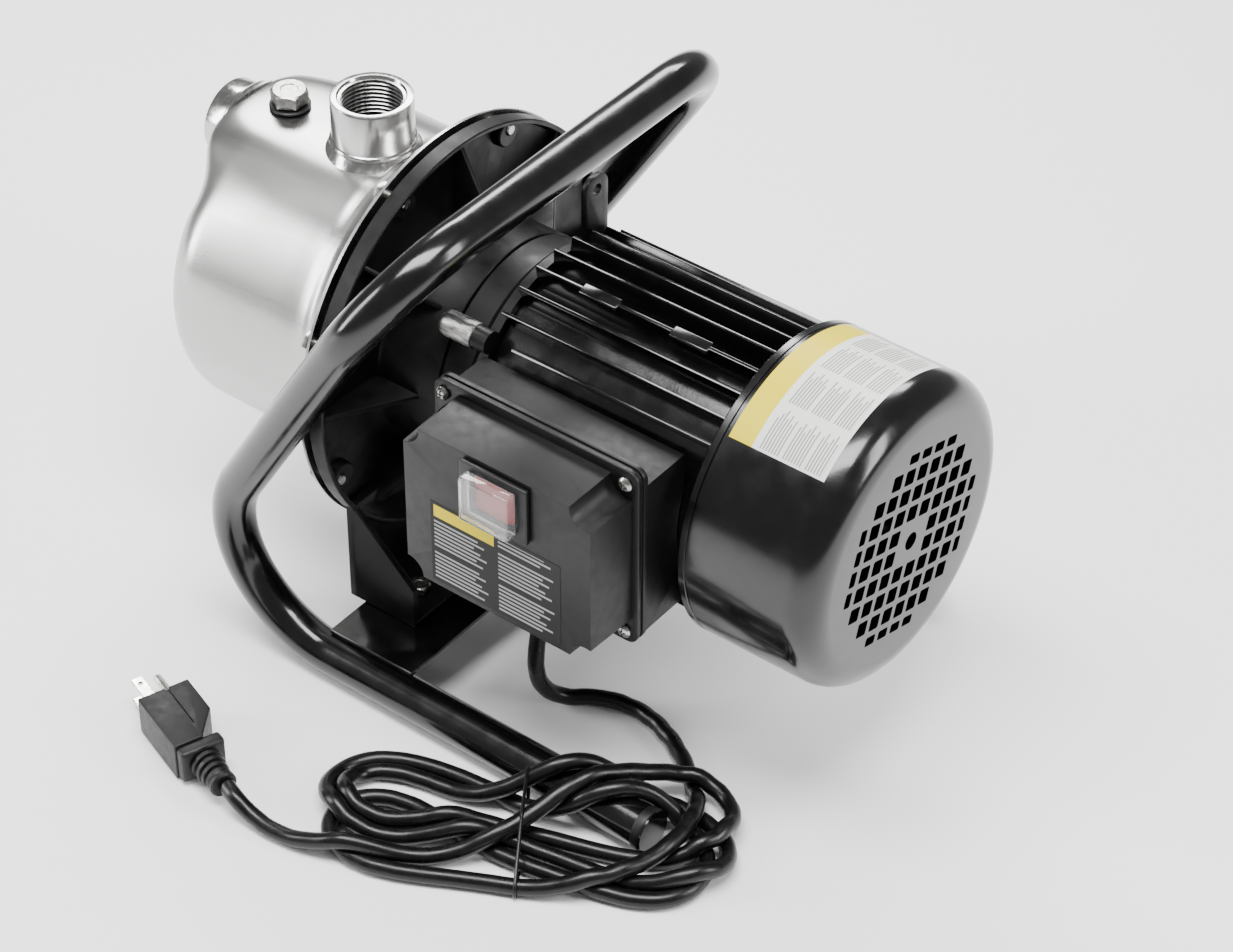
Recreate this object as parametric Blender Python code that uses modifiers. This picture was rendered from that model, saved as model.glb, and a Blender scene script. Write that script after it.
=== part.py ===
"""Shallow well jet pump on a tubular carrying stand, with its cord and plug.

Sizes are in millimetres; the helpers turn them into metres. Nearly every piece hangs from one empty,
pump_axis, which sits on the motor's axis at the rear face of the bracket. From there x runs along the
shaft towards the fan, y runs across (the terminal box is on the -y side) and z is up.
"""
import math

import bmesh
import bpy
from mathutils import Euler, Vector

MM = 0.001
GAP = 0.3  # left between pieces that touch

# Driving dimensions
AXIS_HEIGHT = 145.5  # floor to motor axis
BRACKET_FACE = -56.65  # rear face of the bracket, from the middle of the pump's length
FLOOR = -AXIS_HEIGHT

CASING_R = 85.7
CASING_FRONT = -129.5
CASING_BULGE = 10.5  # how far the front stands out round the suction port
CASING_FLAT = 84.0  # height of the flat along the casing's top
CASING_WALL = 1.8
FLANGE_R = 109.0
FLANGE_FRONT = -14.0

PORT_R = 20.6  # outside of the one inch port bosses
PORT_BORE = 15.5
SUCTION_Z = 61.0
SUCTION_FACE = -152.5
DISCHARGE_X = -56.3
DISCHARGE_TOP = 113.3
FILL_X = -111.0
DRAIN_Z = -54.0

BRACKET_R = 110.4
BRACKET_T = 9.2
BOLT_CIRCLE = 102.5
BOLT_COUNT = 8
HUB_R = 61.0
LEG_HALF = 89.0
FOOT_TOP = -120.2

BORE_R = 60.0
FIN_ROOT_R = 67.0
FIN_TIP_R = 75.0
FIN_COUNT = 33
FIN_PHASE = 55.2
HOUSING = (58.3, 190.1)
CORE = (92.0, 152.0)

COVER_R = 80.0
COVER_RIM = 190.9
COVER_FACE = 265.8
GRILLE_PITCH = 10.9
GRILLE_TURN = math.radians(-17)

TUBE_R = 11.0
RAIL_Y = 116.5
RAIL_Z = FLOOR + TUBE_R
RAIL_END = 207.0
FRONT_CORNER = -101.0
HANDLE = (63.0, 131.0, 125.5)

BOX_SCREWS = [(63.6, 46.5), (170.7, 46.5), (170.7, -42.5), (63.6, -42.5)]
BOX_FACE = -122.0

CORD_R = 4.25
PLUG_FRONT = (-35.5, -195.5, FLOOR + 11.4)
PLUG_TURN = math.radians(-20)
HANK_ENDS = ((85.0, -183.0), (225.0, -118.0))
HANK_R = 33.0

# Hand-picked points that the cord lies through, from the pump_axis empty
DROP_ROUTE = [
    (108.5, -75.5, -58.4), (108.4, -77.5, -85.0), (108.2, -82.0, -112.0), (108.2, -84.5, -127.0),
    (108.4, -80.0, -137.0), (109.2, -69.0, -140.6), (113.0, -57.0, -140.9), (122.0, -49.0, -140.9),
    (135.0, -45.5, -140.9), (151.0, -46.5, -140.9), (171.0, -55.0, -140.6), (187.0, -66.0, -137.0),
    (196.5, -76.0, -131.0), (202.5, -86.0, -126.0),
]
LEAD_ROUTE = [
    (27.7, -218.5, -134.1), (36.0, -221.4, -134.9), (47.0, -223.2, -138.2), (59.0, -222.8, -140.7),
    (71.5, -222.5, -140.9), (84.0, -223.0, -140.9),
]

SIDEWAYS = {
    "z": Euler((0, 0, 0)),
    "x": Euler((0, math.radians(90), 0)),
    "-x": Euler((0, math.radians(-90), 0)),
    "-y": Euler((math.radians(90), 0, 0)),
}
PLANES = {
    "z": Euler((0, 0, 0)),
    "y": Euler((math.radians(90), 0, 0)),
    "x": Euler((math.radians(90), 0, math.radians(90))),
}


def clear_scene():
    for ob in list(bpy.data.objects):
        bpy.data.objects.remove(ob, do_unlink=True)


def new_collection(name):
    group = bpy.data.collections.new(name)
    bpy.context.scene.collection.children.link(group)
    return group


clear_scene()
PARTS = new_collection("shallow_well_jet_pump")
CUTTERS = new_collection("cutters")


def new_empty(name, at, parent=None, turn=(0, 0, 0)):
    empty = bpy.data.objects.new(name, None)
    PARTS.objects.link(empty)
    empty.empty_display_size = 0.02
    empty.parent = parent
    empty.location = Vector(at) * MM
    empty.rotation_euler = turn
    return empty


PUMP_AXIS = new_empty("pump_axis", (BRACKET_FACE, 0, AXIS_HEIGHT))
ROTOR_AXIS = new_empty("rotor_axis", (0, 0, 0), PUMP_AXIS)
FILL_AXIS = new_empty("fill_axis", (FILL_X, 0, CASING_FLAT), PUMP_AXIS)
DRAIN_AXIS = new_empty("drain_axis", (CASING_FRONT, 0, DRAIN_Z), PUMP_AXIS, (0, math.radians(-90), 0))
SWITCH_AXIS = new_empty("switch_axis", (119.2, -118.0, 30.3), PUMP_AXIS)
PLUG_AXIS = new_empty("plug_axis", PLUG_FRONT, PUMP_AXIS, (0, 0, PLUG_TURN))


def new_material(name, colour, roughness, metallic=0.0, alpha=1.0):
    mat = bpy.data.materials.new(name)
    mat.use_nodes = True
    shader = mat.node_tree.nodes["Principled BSDF"]
    shader.inputs["Base Color"].default_value = (*colour, 1.0)
    shader.inputs["Roughness"].default_value = roughness
    shader.inputs["Metallic"].default_value = metallic
    shader.inputs["Alpha"].default_value = alpha
    return mat


STAINLESS = new_material("stainless", (0.62, 0.61, 0.60), 0.22, 1.0)
GLOSS_BLACK = new_material("gloss_black", (0.012, 0.012, 0.013), 0.22)
CASTING = new_material("black_casting", (0.02, 0.02, 0.021), 0.4)
BOX_PLASTIC = new_material("box_plastic", (0.03, 0.03, 0.032), 0.45)
SWITCH_BLACK = new_material("switch_black", (0.015, 0.015, 0.015), 0.35)
SWITCH_RED = new_material("switch_red", (0.55, 0.01, 0.01), 0.25)
CLEAR_CAP = new_material("clear_cap", (0.9, 0.9, 0.9), 0.08, 0.0, 0.35)
ZINC = new_material("zinc_steel", (0.6, 0.6, 0.58), 0.3, 1.0)
SHAFT_STEEL = new_material("shaft_steel", (0.5, 0.5, 0.5), 0.25, 1.0)
LAMINATION = new_material("lamination", (0.25, 0.25, 0.26), 0.45, 1.0)
COPPER = new_material("winding_copper", (0.6, 0.25, 0.1), 0.35, 1.0)
NORYL = new_material("pump_plastic", (0.04, 0.04, 0.045), 0.5)
BRASS = new_material("impeller_brass", (0.6, 0.45, 0.2), 0.35, 1.0)
CERAMIC = new_material("seal_ceramic", (0.8, 0.8, 0.75), 0.3)
CARBON = new_material("seal_carbon", (0.03, 0.03, 0.03), 0.4)
RUBBER = new_material("black_rubber", (0.02, 0.02, 0.02), 0.55)
CAPACITOR = new_material("capacitor_grey", (0.5, 0.5, 0.52), 0.4)
BLADE = new_material("plug_blade", (0.65, 0.63, 0.58), 0.25, 1.0)


def add_piece(name, data, mat, parent, at=(0, 0, 0), turn=Euler((0, 0, 0))):
    ob = bpy.data.objects.new(name, data)
    PARTS.objects.link(ob)
    ob.parent = parent
    ob.location = Vector(at) * MM
    ob.rotation_euler = turn
    if not data.materials:
        data.materials.append(mat)
    return ob


def bake(ob, smooth_angle=32):
    """Replace a curve or a mesh with modifiers by its finished mesh, in the same place."""
    bpy.context.view_layer.update()
    finished = ob.evaluated_get(bpy.context.evaluated_depsgraph_get())
    mesh = bpy.data.meshes.new_from_object(finished)
    bm = bmesh.new()
    bm.from_mesh(mesh)
    bmesh.ops.remove_doubles(bm, verts=bm.verts, dist=0.000002)
    bmesh.ops.dissolve_limit(bm, angle_limit=math.radians(0.1), verts=bm.verts, edges=bm.edges)
    bmesh.ops.recalc_face_normals(bm, faces=bm.faces)
    bm.to_mesh(mesh)
    bm.free()
    mesh.shade_smooth()
    mesh.set_sharp_from_angle(angle=math.radians(smooth_angle))
    name = ob.name
    piece = bpy.data.objects.new(name, mesh)
    for group in ob.users_collection:
        group.objects.link(piece)
    piece.parent = ob.parent
    piece.location = ob.location
    piece.rotation_euler = ob.rotation_euler
    bpy.data.objects.remove(ob, do_unlink=True)
    piece.name = name
    mesh.name = name
    bpy.context.view_layer.update()
    return piece


def set_aside(ob):
    """Keep a cutter, or a block that is joined to another, out of the finished object."""
    if ob.name not in CUTTERS.objects:
        for group in list(ob.users_collection):
            group.objects.unlink(ob)
        CUTTERS.objects.link(ob)
    ob.hide_render = True
    ob.display_type = "WIRE"


def combine(ob, tools, operation="DIFFERENCE"):
    for tool in tools:
        set_aside(tool)
        step = ob.modifiers.new(operation.lower(), "BOOLEAN")
        step.operation = operation
        step.solver = "EXACT"
        step.object = tool
    return bake(ob)


def cut(ob, *tools):
    return combine(ob, tools, "DIFFERENCE")


def join(ob, *tools):
    return combine(ob, tools, "UNION")


def turned(name, mat, profile, axis="x", at=(0, 0, 0), parent=PUMP_AXIS, steps=32):
    """Revolve (radius, height) points, which run from the top down the outer side and back up inside."""
    mesh = bpy.data.meshes.new(name)
    last = len(profile) - 1
    edges = [(i, i + 1) for i in range(last)]
    if profile[0][0] > 0:
        edges.append((last, 0))
    mesh.from_pydata([Vector((radius, 0, height)) * MM for radius, height in profile], edges, [])
    ob = add_piece(name, mesh, mat, parent, at, SIDEWAYS[axis])
    screw = ob.modifiers.new("turn", "SCREW")
    screw.steps = steps
    screw.render_steps = steps
    screw.use_merge_vertices = True
    screw.merge_threshold = 0.00001
    return bake(ob)


def ring(name, mat, outer, inner, low, high, axis="x", at=(0, 0, 0), parent=PUMP_AXIS, steps=32):
    profile = [(outer, high), (outer, low), (inner, low), (inner, high)]
    return turned(name, mat, profile, axis, at, parent, steps)


def rod(name, mat, radius, low, high, axis="x", at=(0, 0, 0), parent=PUMP_AXIS, steps=24):
    profile = [(0, high), (radius, high), (radius, low), (0, low)]
    return turned(name, mat, profile, axis, at, parent, steps)


def box(name, mat, low, high, bevel=0.0, parent=PUMP_AXIS, segments=1):
    low = Vector(low) * MM
    high = Vector(high) * MM
    bm = bmesh.new()
    bmesh.ops.create_cube(bm, size=1.0)
    bmesh.ops.scale(bm, vec=high - low, verts=bm.verts)
    mesh = bpy.data.meshes.new(name)
    bm.to_mesh(mesh)
    bm.free()
    ob = add_piece(name, mesh, mat, parent, (low + high) / 2 / MM)
    if bevel:
        edge = ob.modifiers.new("edges", "BEVEL")
        edge.width = bevel * MM
        edge.segments = segments
        edge.limit_method = "ANGLE"
        ob = bake(ob)
    return ob


def slab(name, mat, outlines, low, high, plane="z", parent=PUMP_AXIS):
    """Extrude flat outlines from low to high along the plane's axis; an inner outline is a hole."""
    curve = bpy.data.curves.new(name, "CURVE")
    curve.dimensions = "2D"
    curve.fill_mode = "BOTH"
    curve.extrude = (high - low) / 2 * MM
    for outline in outlines:
        spline = curve.splines.new("POLY")
        spline.points.add(len(outline) - 1)
        spline.use_cyclic_u = True
        for point, (u, v) in zip(spline.points, outline):
            point.co = (u * MM, v * MM, 0, 1)
    middle = (low + high) / 2
    at = {"x": (middle, 0, 0), "y": (0, middle, 0), "z": (0, 0, middle)}[plane]
    return bake(add_piece(name, curve, mat, parent, at, PLANES[plane]))


def rounded_rectangle(low, high, radius, steps=3):
    corners = [
        (high[0] - radius, high[1] - radius, 0), (low[0] + radius, high[1] - radius, 90),
        (low[0] + radius, low[1] + radius, 180), (high[0] - radius, low[1] + radius, 270),
    ]
    points = []
    for u, v, start in corners:
        for i in range(steps + 1):
            angle = math.radians(start + 90 * i / steps)
            points.append((u + radius * math.cos(angle), v + radius * math.sin(angle)))
    return points


def circle(radius, steps, at=(0, 0)):
    angles = [math.tau * i / steps for i in range(steps)]
    return [(at[0] + radius * math.cos(a), at[1] + radius * math.sin(a)) for a in angles]


def rounded_route(points, radii, steps=5):
    """Corner points, with each inner corner replaced by an arc of its own radius."""
    points = [Vector(p) for p in points]
    route = [points[0]]
    for before, corner, after, radius in zip(points, points[1:], points[2:], radii):
        back = (before - corner).normalized()
        ahead = (after - corner).normalized()
        half = back.angle(ahead) / 2
        centre = corner + (back + ahead).normalized() * radius / math.sin(half)
        start = (corner + back * radius / math.tan(half) - centre).normalized()
        end = (corner + ahead * radius / math.tan(half) - centre).normalized()
        for i in range(steps + 1):
            route.append(centre + start.slerp(end, i / steps) * radius)
    route.append(points[-1])
    return route


def smooth_route(points, spacing):
    """Evenly spaced points along a Catmull-Rom curve through the given points."""
    points = [Vector(p) for p in points]
    ends = [points[0] * 2 - points[1]] + points + [points[-1] * 2 - points[-2]]
    dense = []
    for a, b, c, d in zip(ends, ends[1:], ends[2:], ends[3:]):
        for i in range(24):
            t = i / 24
            dense.append((2 * b + (c - a) * t + (2 * a - 5 * b + 4 * c - d) * t ** 2
                          + (3 * b - a - 3 * c + d) * t ** 3) / 2)
    dense.append(points[-1])
    walked = [0.0]
    for before, after in zip(dense, dense[1:]):
        walked.append(walked[-1] + (after - before).length)
    count = round(walked[-1] / spacing)
    route = []
    j = 0
    for i in range(count + 1):
        target = walked[-1] * i / count
        while j < len(dense) - 2 and walked[j + 1] < target:
            j += 1
        route.append(dense[j].lerp(dense[j + 1], (target - walked[j]) / (walked[j + 1] - walked[j])))
    return route


def swept(name, mat, route, radius, resolution, caps=True):
    curve = bpy.data.curves.new(name, "CURVE")
    curve.dimensions = "3D"
    curve.bevel_depth = radius * MM
    curve.bevel_resolution = resolution
    curve.use_fill_caps = caps
    spline = curve.splines.new("POLY")
    spline.points.add(len(route) - 1)
    for point, place in zip(spline.points, route):
        point.co = (*(place * MM), 1)
    return bake(add_piece(name, curve, mat, PUMP_AXIS))


def around(angle, radius):
    """Point (y, z) at an angle round the motor, from the box side (-y) over the top."""
    return -radius * math.cos(math.radians(angle)), radius * math.sin(math.radians(angle))


def smoothstep(low, high, value):
    t = min(max((value - low) / (high - low), 0.0), 1.0)
    return t * t * (3 - 2 * t)


def bolt(name, mat, across_flats, head, shank_r, shank, axis, at, parent=PUMP_AXIS):
    """A hexagon head standing on its seat, with its shank below."""
    corner_r = across_flats / math.sqrt(3)
    bm = bmesh.new()
    bmesh.ops.create_cone(bm, cap_ends=True, segments=6, radius1=corner_r * MM, radius2=corner_r * MM,
                          depth=head * MM)
    bmesh.ops.translate(bm, vec=(0, 0, head / 2 * MM), verts=bm.verts)
    mesh = bpy.data.meshes.new(name)
    bm.to_mesh(mesh)
    bm.free()
    ob = add_piece(name, mesh, mat, parent, at, SIDEWAYS[axis])
    stem = rod(name + "_shank", mat, shank_r, -shank, head / 2, axis, at, parent, 10)
    return join(ob, stem)


# Stand

def stand():
    x, y, z = HANDLE
    corners = [
        (RAIL_END, -RAIL_Y, RAIL_Z), (FRONT_CORNER, -RAIL_Y, RAIL_Z), (x, -y, z),
        (x, y, z), (FRONT_CORNER, RAIL_Y, RAIL_Z), (RAIL_END, RAIL_Y, RAIL_Z),
    ]
    route = rounded_route(corners, (60, 52, 52, 60))
    tube = swept("stand_tube", GLOSS_BLACK, route, TUBE_R, 4, caps=False)
    wall = tube.modifiers.new("wall", "SOLIDIFY")
    wall.thickness = 1.5 * MM
    wall.offset = -1
    bake(tube)
    plate = box("foot_plate", GLOSS_BLACK, (3, -115, FOOT_TOP - 3), (56, 115, FOOT_TOP), 1)
    holes = [rod("foot_hole", None, 3.4, -130, -110, "z", (23, side * 68.7, 0), steps=12) for side in (-1, 1)]
    cut(plate, *holes)
    for number, side in ((1, -1), (2, 1)):
        seat = FOOT_TOP + GAP + 4 + GAP
        bolt("foot_bolt_%d" % number, ZINC, 10, 5, 3.0, 14, "z", (23, side * 68.7, seat))


# Bracket between the pump and the motor

def bracket():
    profile = [
        (HUB_R, 31.5), (HUB_R, -3.5), (103, -3.5), (104, 0), (BRACKET_R, 0), (BRACKET_R, -BRACKET_T),
        (24, -BRACKET_T), (24, 4), (55, 4), (55, 31.5),
    ]
    body = turned("motor_bracket", CASTING, profile, steps=40)
    foot = FOOT_TOP + GAP
    extras = [
        box("leg", None, (-6, -LEG_HALF, foot), (-0.6, LEG_HALF, -63)),
        box("foot", None, (-4, -LEG_HALF + 0.5, foot + 0.02), (37, LEG_HALF - 0.5, foot + 4)),
    ]
    gusset = [(-3, -64.5), (0, -64.5), (36.5, -99), (36.5, foot + 1), (-3, foot + 1)]
    for side in (-1, 1):
        edge = side * (LEG_HALF - 2)
        extras.append(slab("gusset", None, [gusset], edge - 2, edge + 2, "y"))
    for angle in range(0, 360, 45):
        rib = slab("rib", None, [[(-5, 58), (17, 58), (-1, 103.4), (-5, 103.4)]], -2, 2, "y")
        rib.rotation_euler.rotate_axis("X", math.radians(angle))
        extras.append(rib)
    holes = []
    for i in range(BOLT_COUNT):
        y, z = around(22.5 + 45 * i, BOLT_CIRCLE - 1)
        extras.append(rod("boss", None, 7.5, -8, -0.2, "x", (0, y, z), steps=10))
        y, z = around(22.5 + 45 * i, BOLT_CIRCLE)
        holes.append(rod("bolt_hole", None, 3.3, -12, 3, "x", (0, y, z), steps=8))
    for side in (-1, 1):
        holes.append(rod("foot_hole", None, 3.4, -130, -110, "z", (23, side * 68.7, 0), steps=12))
    body = join(body, *extras)
    cut(body, *holes)


def casing_bolts():
    shared = None
    for i in range(BOLT_COUNT):
        y, z = around(22.5 + 45 * i, BOLT_CIRCLE)
        at = (FLANGE_FRONT - GAP, y, z)
        name = "casing_bolt_%d" % (i + 1)
        if shared is None:
            shared = bolt(name, ZINC, 10, 4, 3.0, 13, "-x", at).data
        else:
            add_piece(name, shared, ZINC, PUMP_AXIS, at, SIDEWAYS["-x"])


# Pump casing: a pressed shell that is round below, flat along the top, and fuller in front of the
# flat where the suction port stands

def casing_section(angle):
    """(x, radius) points of the outside at one angle from the top, rear flange to front centre."""
    top = 1 - smoothstep(math.radians(26), math.radians(62), abs(angle))
    radius = CASING_R + 1.3 * top
    if abs(angle) < math.radians(40):
        radius = min(radius, CASING_FLAT / math.cos(angle))
    front = CASING_FRONT - CASING_BULGE * top
    fillet = 20 - 11 * top
    section = [
        (FLANGE_FRONT, FLANGE_R), (FLANGE_FRONT, 97.0), (-16.5, 94.0), (-25.0, 89.3),
        (-33.0, radius + 0.6), (-37.0, radius), (-100.0, radius),
    ]
    for i in range(4):
        bend = math.radians(90 * i / 3)
        section.append((front + fillet * (1 - math.sin(bend)), radius - fillet * (1 - math.cos(bend))))
    for part in (0.75, 0.5, 0.3):
        r = (radius - fillet) * part
        section.append((CASING_FRONT - CASING_BULGE * top * smoothstep(14, 36, r), r))
    return section


def pump_casing():
    count = 42
    angles = [math.tau * (i + 0.5) / count for i in range(count)]
    sections = [casing_section(math.remainder(angle, math.tau)) for angle in angles]
    bm = bmesh.new()
    rings = []
    for j in range(len(sections[0])):
        loop = []
        for angle, section in zip(angles, sections):
            x, r = section[j]
            loop.append(bm.verts.new(Vector((x, r * math.sin(angle), r * math.cos(angle))) * MM))
        rings.append(loop)
    for near, far in zip(rings, rings[1:]):
        for i in range(count):
            k = (i + 1) % count
            bm.faces.new((near[i], near[k], far[k], far[i]))
    centre = bm.verts.new(Vector((CASING_FRONT, 0, 0)) * MM)
    for i in range(count):
        bm.faces.new((rings[-1][i], rings[-1][(i + 1) % count], centre))
    mesh = bpy.data.meshes.new("pump_casing")
    bm.to_mesh(mesh)
    bm.free()
    shell = add_piece("pump_casing", mesh, STAINLESS, PUMP_AXIS)
    wall = shell.modifiers.new("wall", "SOLIDIFY")
    wall.thickness = CASING_WALL * MM
    wall.offset = -1
    shell = bake(shell)
    holes = [
        rod("suction_hole", None, 17.6, -150, -128, "x", (0, 0, SUCTION_Z)),
        rod("discharge_hole", None, 17.6, 70, 95, "z", (DISCHARGE_X, 0, 0)),
        rod("fill_hole", None, 6.5, 75, 90, "z", (FILL_X, 0, 0), steps=16),
        rod("drain_hole", None, 6.5, -140, -120, "x", (0, 0, DRAIN_Z), steps=16),
    ]
    for i in range(BOLT_COUNT):
        y, z = around(22.5 + 45 * i, BOLT_CIRCLE)
        holes.append(rod("flange_hole", None, 3.3, -20, -8, "x", (0, y, z), steps=8))
    cut(shell, *holes)


def ports():
    seat = CASING_FRONT - CASING_BULGE - GAP
    suction = [
        (17.2, -134), (17.2, seat), (PORT_R, seat), (PORT_R, SUCTION_FACE + 1), (PORT_R - 0.8, SUCTION_FACE),
        (17.2, SUCTION_FACE), (PORT_BORE, SUCTION_FACE + 2), (PORT_BORE, -134),
    ]
    turned("suction_port", STAINLESS, suction, at=(0, 0, SUCTION_Z), steps=28)
    low = CASING_FLAT + GAP
    discharge = [
        (17.2, DISCHARGE_TOP), (PORT_R - 0.8, DISCHARGE_TOP), (PORT_R, DISCHARGE_TOP - 1), (PORT_R, 90.5),
        (21.8, 90.2), (21.8, 88.2), (20.9, 87.4), (20.9, low), (17.2, low), (17.2, 78),
        (PORT_BORE, 78), (PORT_BORE, DISCHARGE_TOP - 2),
    ]
    turned("discharge_port", STAINLESS, discharge, "z", (DISCHARGE_X, 0, 0), steps=28)


def plugs():
    for name, parent in (("fill", FILL_AXIS), ("drain", DRAIN_AXIS)):
        ring(name + "_washer", RUBBER, 10.6, 6.8, GAP, 2.0, "z", parent=parent, steps=16)
        bolt(name + "_plug", ZINC, 17, 8, 6.2, 10, "z", (0, 0, 2.0 + GAP), parent)


# Inside the pump

def pump_inside():
    rear = FLANGE_FRONT + CASING_WALL
    front = -BRACKET_T
    ring("seal_plate", STAINLESS, 93, 14.3, rear + GAP, front - GAP)
    middle = (rear + front) / 2
    bead = [(96 + 1.1 * math.cos(math.tau * i / 5), middle - 1.1 * math.sin(math.tau * i / 5)) for i in range(5)]
    turned("casing_oring", RUBBER, bead)
    diffuser = [
        (72, rear - GAP), (72, -47), (20, -47), (19, -42), (60, -42), (66, -39), (66, rear - GAP),
    ]
    turned("diffuser", NORYL, diffuser)
    venturi = [(17, -47.3), (17, -52), (11, -112), (8, -112), (7, -100), (12.5, -47.3)]
    turned("venturi_tube", NORYL, venturi, steps=20)
    nozzle = [(6, -113), (11, -127), (8, -127), (3.4, -113)]
    turned("jet_nozzle", BRASS, nozzle, steps=16)
    ring("seal_seat", CERAMIC, 14.0, 8, -12.4, -6.5, steps=20)
    ring("seal_ring", CARBON, 12.5, 7.3, -22.5, -12.7, parent=ROTOR_AXIS, steps=20)
    back = [(52, -23.3), (52, -25.8), (12, -25.8), (12, -38.5), (7.3, -38.5), (7.3, -23.3)]
    impeller = turned("impeller", BRASS, back, parent=ROTOR_AXIS, steps=28)
    pieces = [ring("shroud", None, 52, 18.5, -36.5, -34.5, parent=ROTOR_AXIS, steps=28)]
    for i in range(6):
        vane = box("vane", None, (-35.5, -1, -17), (-24.8, 1, 17), parent=ROTOR_AXIS)
        vane.location = Euler((math.tau * i / 6, 0, 0)).to_matrix() @ Vector((-30.15, 0, 34)) * MM
        vane.rotation_euler = (math.tau * i / 6 + math.radians(28), 0, 0)
        pieces.append(vane)
    join(impeller, *pieces)
    nut = bpy.data.meshes.new("impeller_nut")
    bm = bmesh.new()
    bmesh.ops.create_cone(bm, cap_ends=True, segments=6, radius1=7.5 * MM, radius2=7.5 * MM, depth=6 * MM)
    bm.to_mesh(nut)
    bm.free()
    nut = add_piece("impeller_nut", nut, BRASS, ROTOR_AXIS, (-42, 0, 0), SIDEWAYS["x"])
    cut(nut, rod("nut_bore", None, 4.3, -50, -30, steps=12))


# Motor

def rotor():
    shaft = [
        (0, 240), (6, 240), (6, 206), (8.5, 205.5), (8.5, 188), (11, 187.5), (11, 49), (8.5, 48.5),
        (8.5, 33), (7, 32.5), (7, -38.8), (4, -38.8), (4, -48), (0, -48),
    ]
    turned("rotor_shaft", SHAFT_STEEL, shaft, parent=ROTOR_AXIS, steps=16)
    ring("rotor_core", LAMINATION, 34.5, 11.3, *CORE, parent=ROTOR_AXIS, steps=28)
    ring("front_bearing", SHAFT_STEEL, 20, 8.8, 34, 46, steps=20)
    ring("rear_bearing", SHAFT_STEEL, 20, 8.8, 190.8, 202.7, steps=20)


def end_shields():
    front = [
        (66.7, 58), (66.7, 52), (HUB_R, 49), (HUB_R, 31.8), (12, 31.8), (12, 33.7), (20.3, 33.7), (20.3, 46.3),
        (26, 46.3), (26, 38), (55, 38), (55, 50), (62, 54), (62, 58),
    ]
    shield = turned("front_end_shield", CASTING, front)
    y, z = around(43, 68.6)
    boss = rod("tie_boss", None, 6.5, 27.5, 58, at=(0, y, z), steps=12)
    web = box("tie_web", None, (34, -5, 55), (58, 5, 66))
    web.location = Vector((46, *around(43, 62))) * MM
    web.rotation_euler = (math.radians(47), 0, 0)
    ear = [(22, 56), (40, 48), (40, 90), (37, 96), (31, 98), (25, 96), (22, 90)]
    hole = circle(3.2, 10, (31, 90))
    lug = slab("lug", None, [ear, hole], 54.5, 58, "x")
    join(shield, boss, web, lug)
    rear = [
        (77.5, 198), (77.5, 190.4), (20.3, 190.4), (20.3, 203), (12, 203), (12, 205), (26, 205), (26, 195),
        (72, 195), (72, 198),
    ]
    turned("rear_end_shield", CASTING, rear, steps=28)


def motor_housing():
    outline = []
    pitch = 360 / FIN_COUNT
    for i in range(FIN_COUNT):
        angle = FIN_PHASE + pitch * i
        from_box = abs(math.remainder(angle, 360))
        if from_box < 42:
            outline.append(around(angle - pitch / 2, FIN_ROOT_R))
            outline.append(around(angle, FIN_ROOT_R))
            continue
        root = math.degrees(1.6 / FIN_ROOT_R)
        tip = math.degrees(0.9 / FIN_TIP_R)
        outline.append(around(angle - pitch / 2, FIN_ROOT_R - 0.5))
        outline.append(around(angle - root, FIN_ROOT_R))
        outline.append(around(angle - tip, FIN_TIP_R))
        outline.append(around(angle + tip, FIN_TIP_R))
        outline.append(around(angle + root, FIN_ROOT_R))
    slab("motor_housing", GLOSS_BLACK, [outline, circle(BORE_R, 36)], *HOUSING, "x")
    ring("stator_core", LAMINATION, BORE_R - 0.6, 35.2, *CORE)
    low, high = CORE
    front = [(57, low - 1), (57, low - 14), (50, low - 18), (42, low - 18), (38, low - 14), (38, low - 1)]
    turned("winding_front", COPPER, front, steps=24)
    rear = [(57, high + 14), (57, high + 1), (38, high + 1), (38, high + 14), (42, high + 18), (50, high + 18)]
    turned("winding_rear", COPPER, rear, steps=24)


def cooling_fan():
    profile = [(15, 232), (15, 214), (60, 214), (60, 212), (6.3, 212), (6.3, 232)]
    fan = turned("cooling_fan", NORYL, profile, parent=ROTOR_AXIS, steps=24)
    blades = []
    for i in range(8):
        blade = box("blade", None, (213, -1, -27), (231, 1, 27), parent=ROTOR_AXIS)
        blade.location = Euler((math.tau * i / 8, 0, 0)).to_matrix() @ Vector((222, 0, 41)) * MM
        blade.rotation_euler = (math.tau * i / 8, 0, 0)
        blades.append(blade)
    join(fan, *blades)


def grille_slots():
    """(y, z, width, height) of the slots: a turned square grid, trimmed to a circle, open at its middle."""
    rows = {5: 2, 4: 3, 3: 4, 2: 5, 1: 5}
    slots = []
    for row, columns in rows.items():
        for column in range(1, columns + 1):
            if row == 1 and column == 1:
                continue
            width = 5.0 if column == 5 else 8.2
            height = 5.0 if row == 5 else 8.2
            across = (column - 0.5) * GRILLE_PITCH - (1.2 if column == 5 else 0)
            up = (row - 0.5) * GRILLE_PITCH - (1.2 if row == 5 else 0)
            slots += [(sx * across, sz * up, width, height) for sx in (-1, 1) for sz in (-1, 1)]
    return slots


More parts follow.
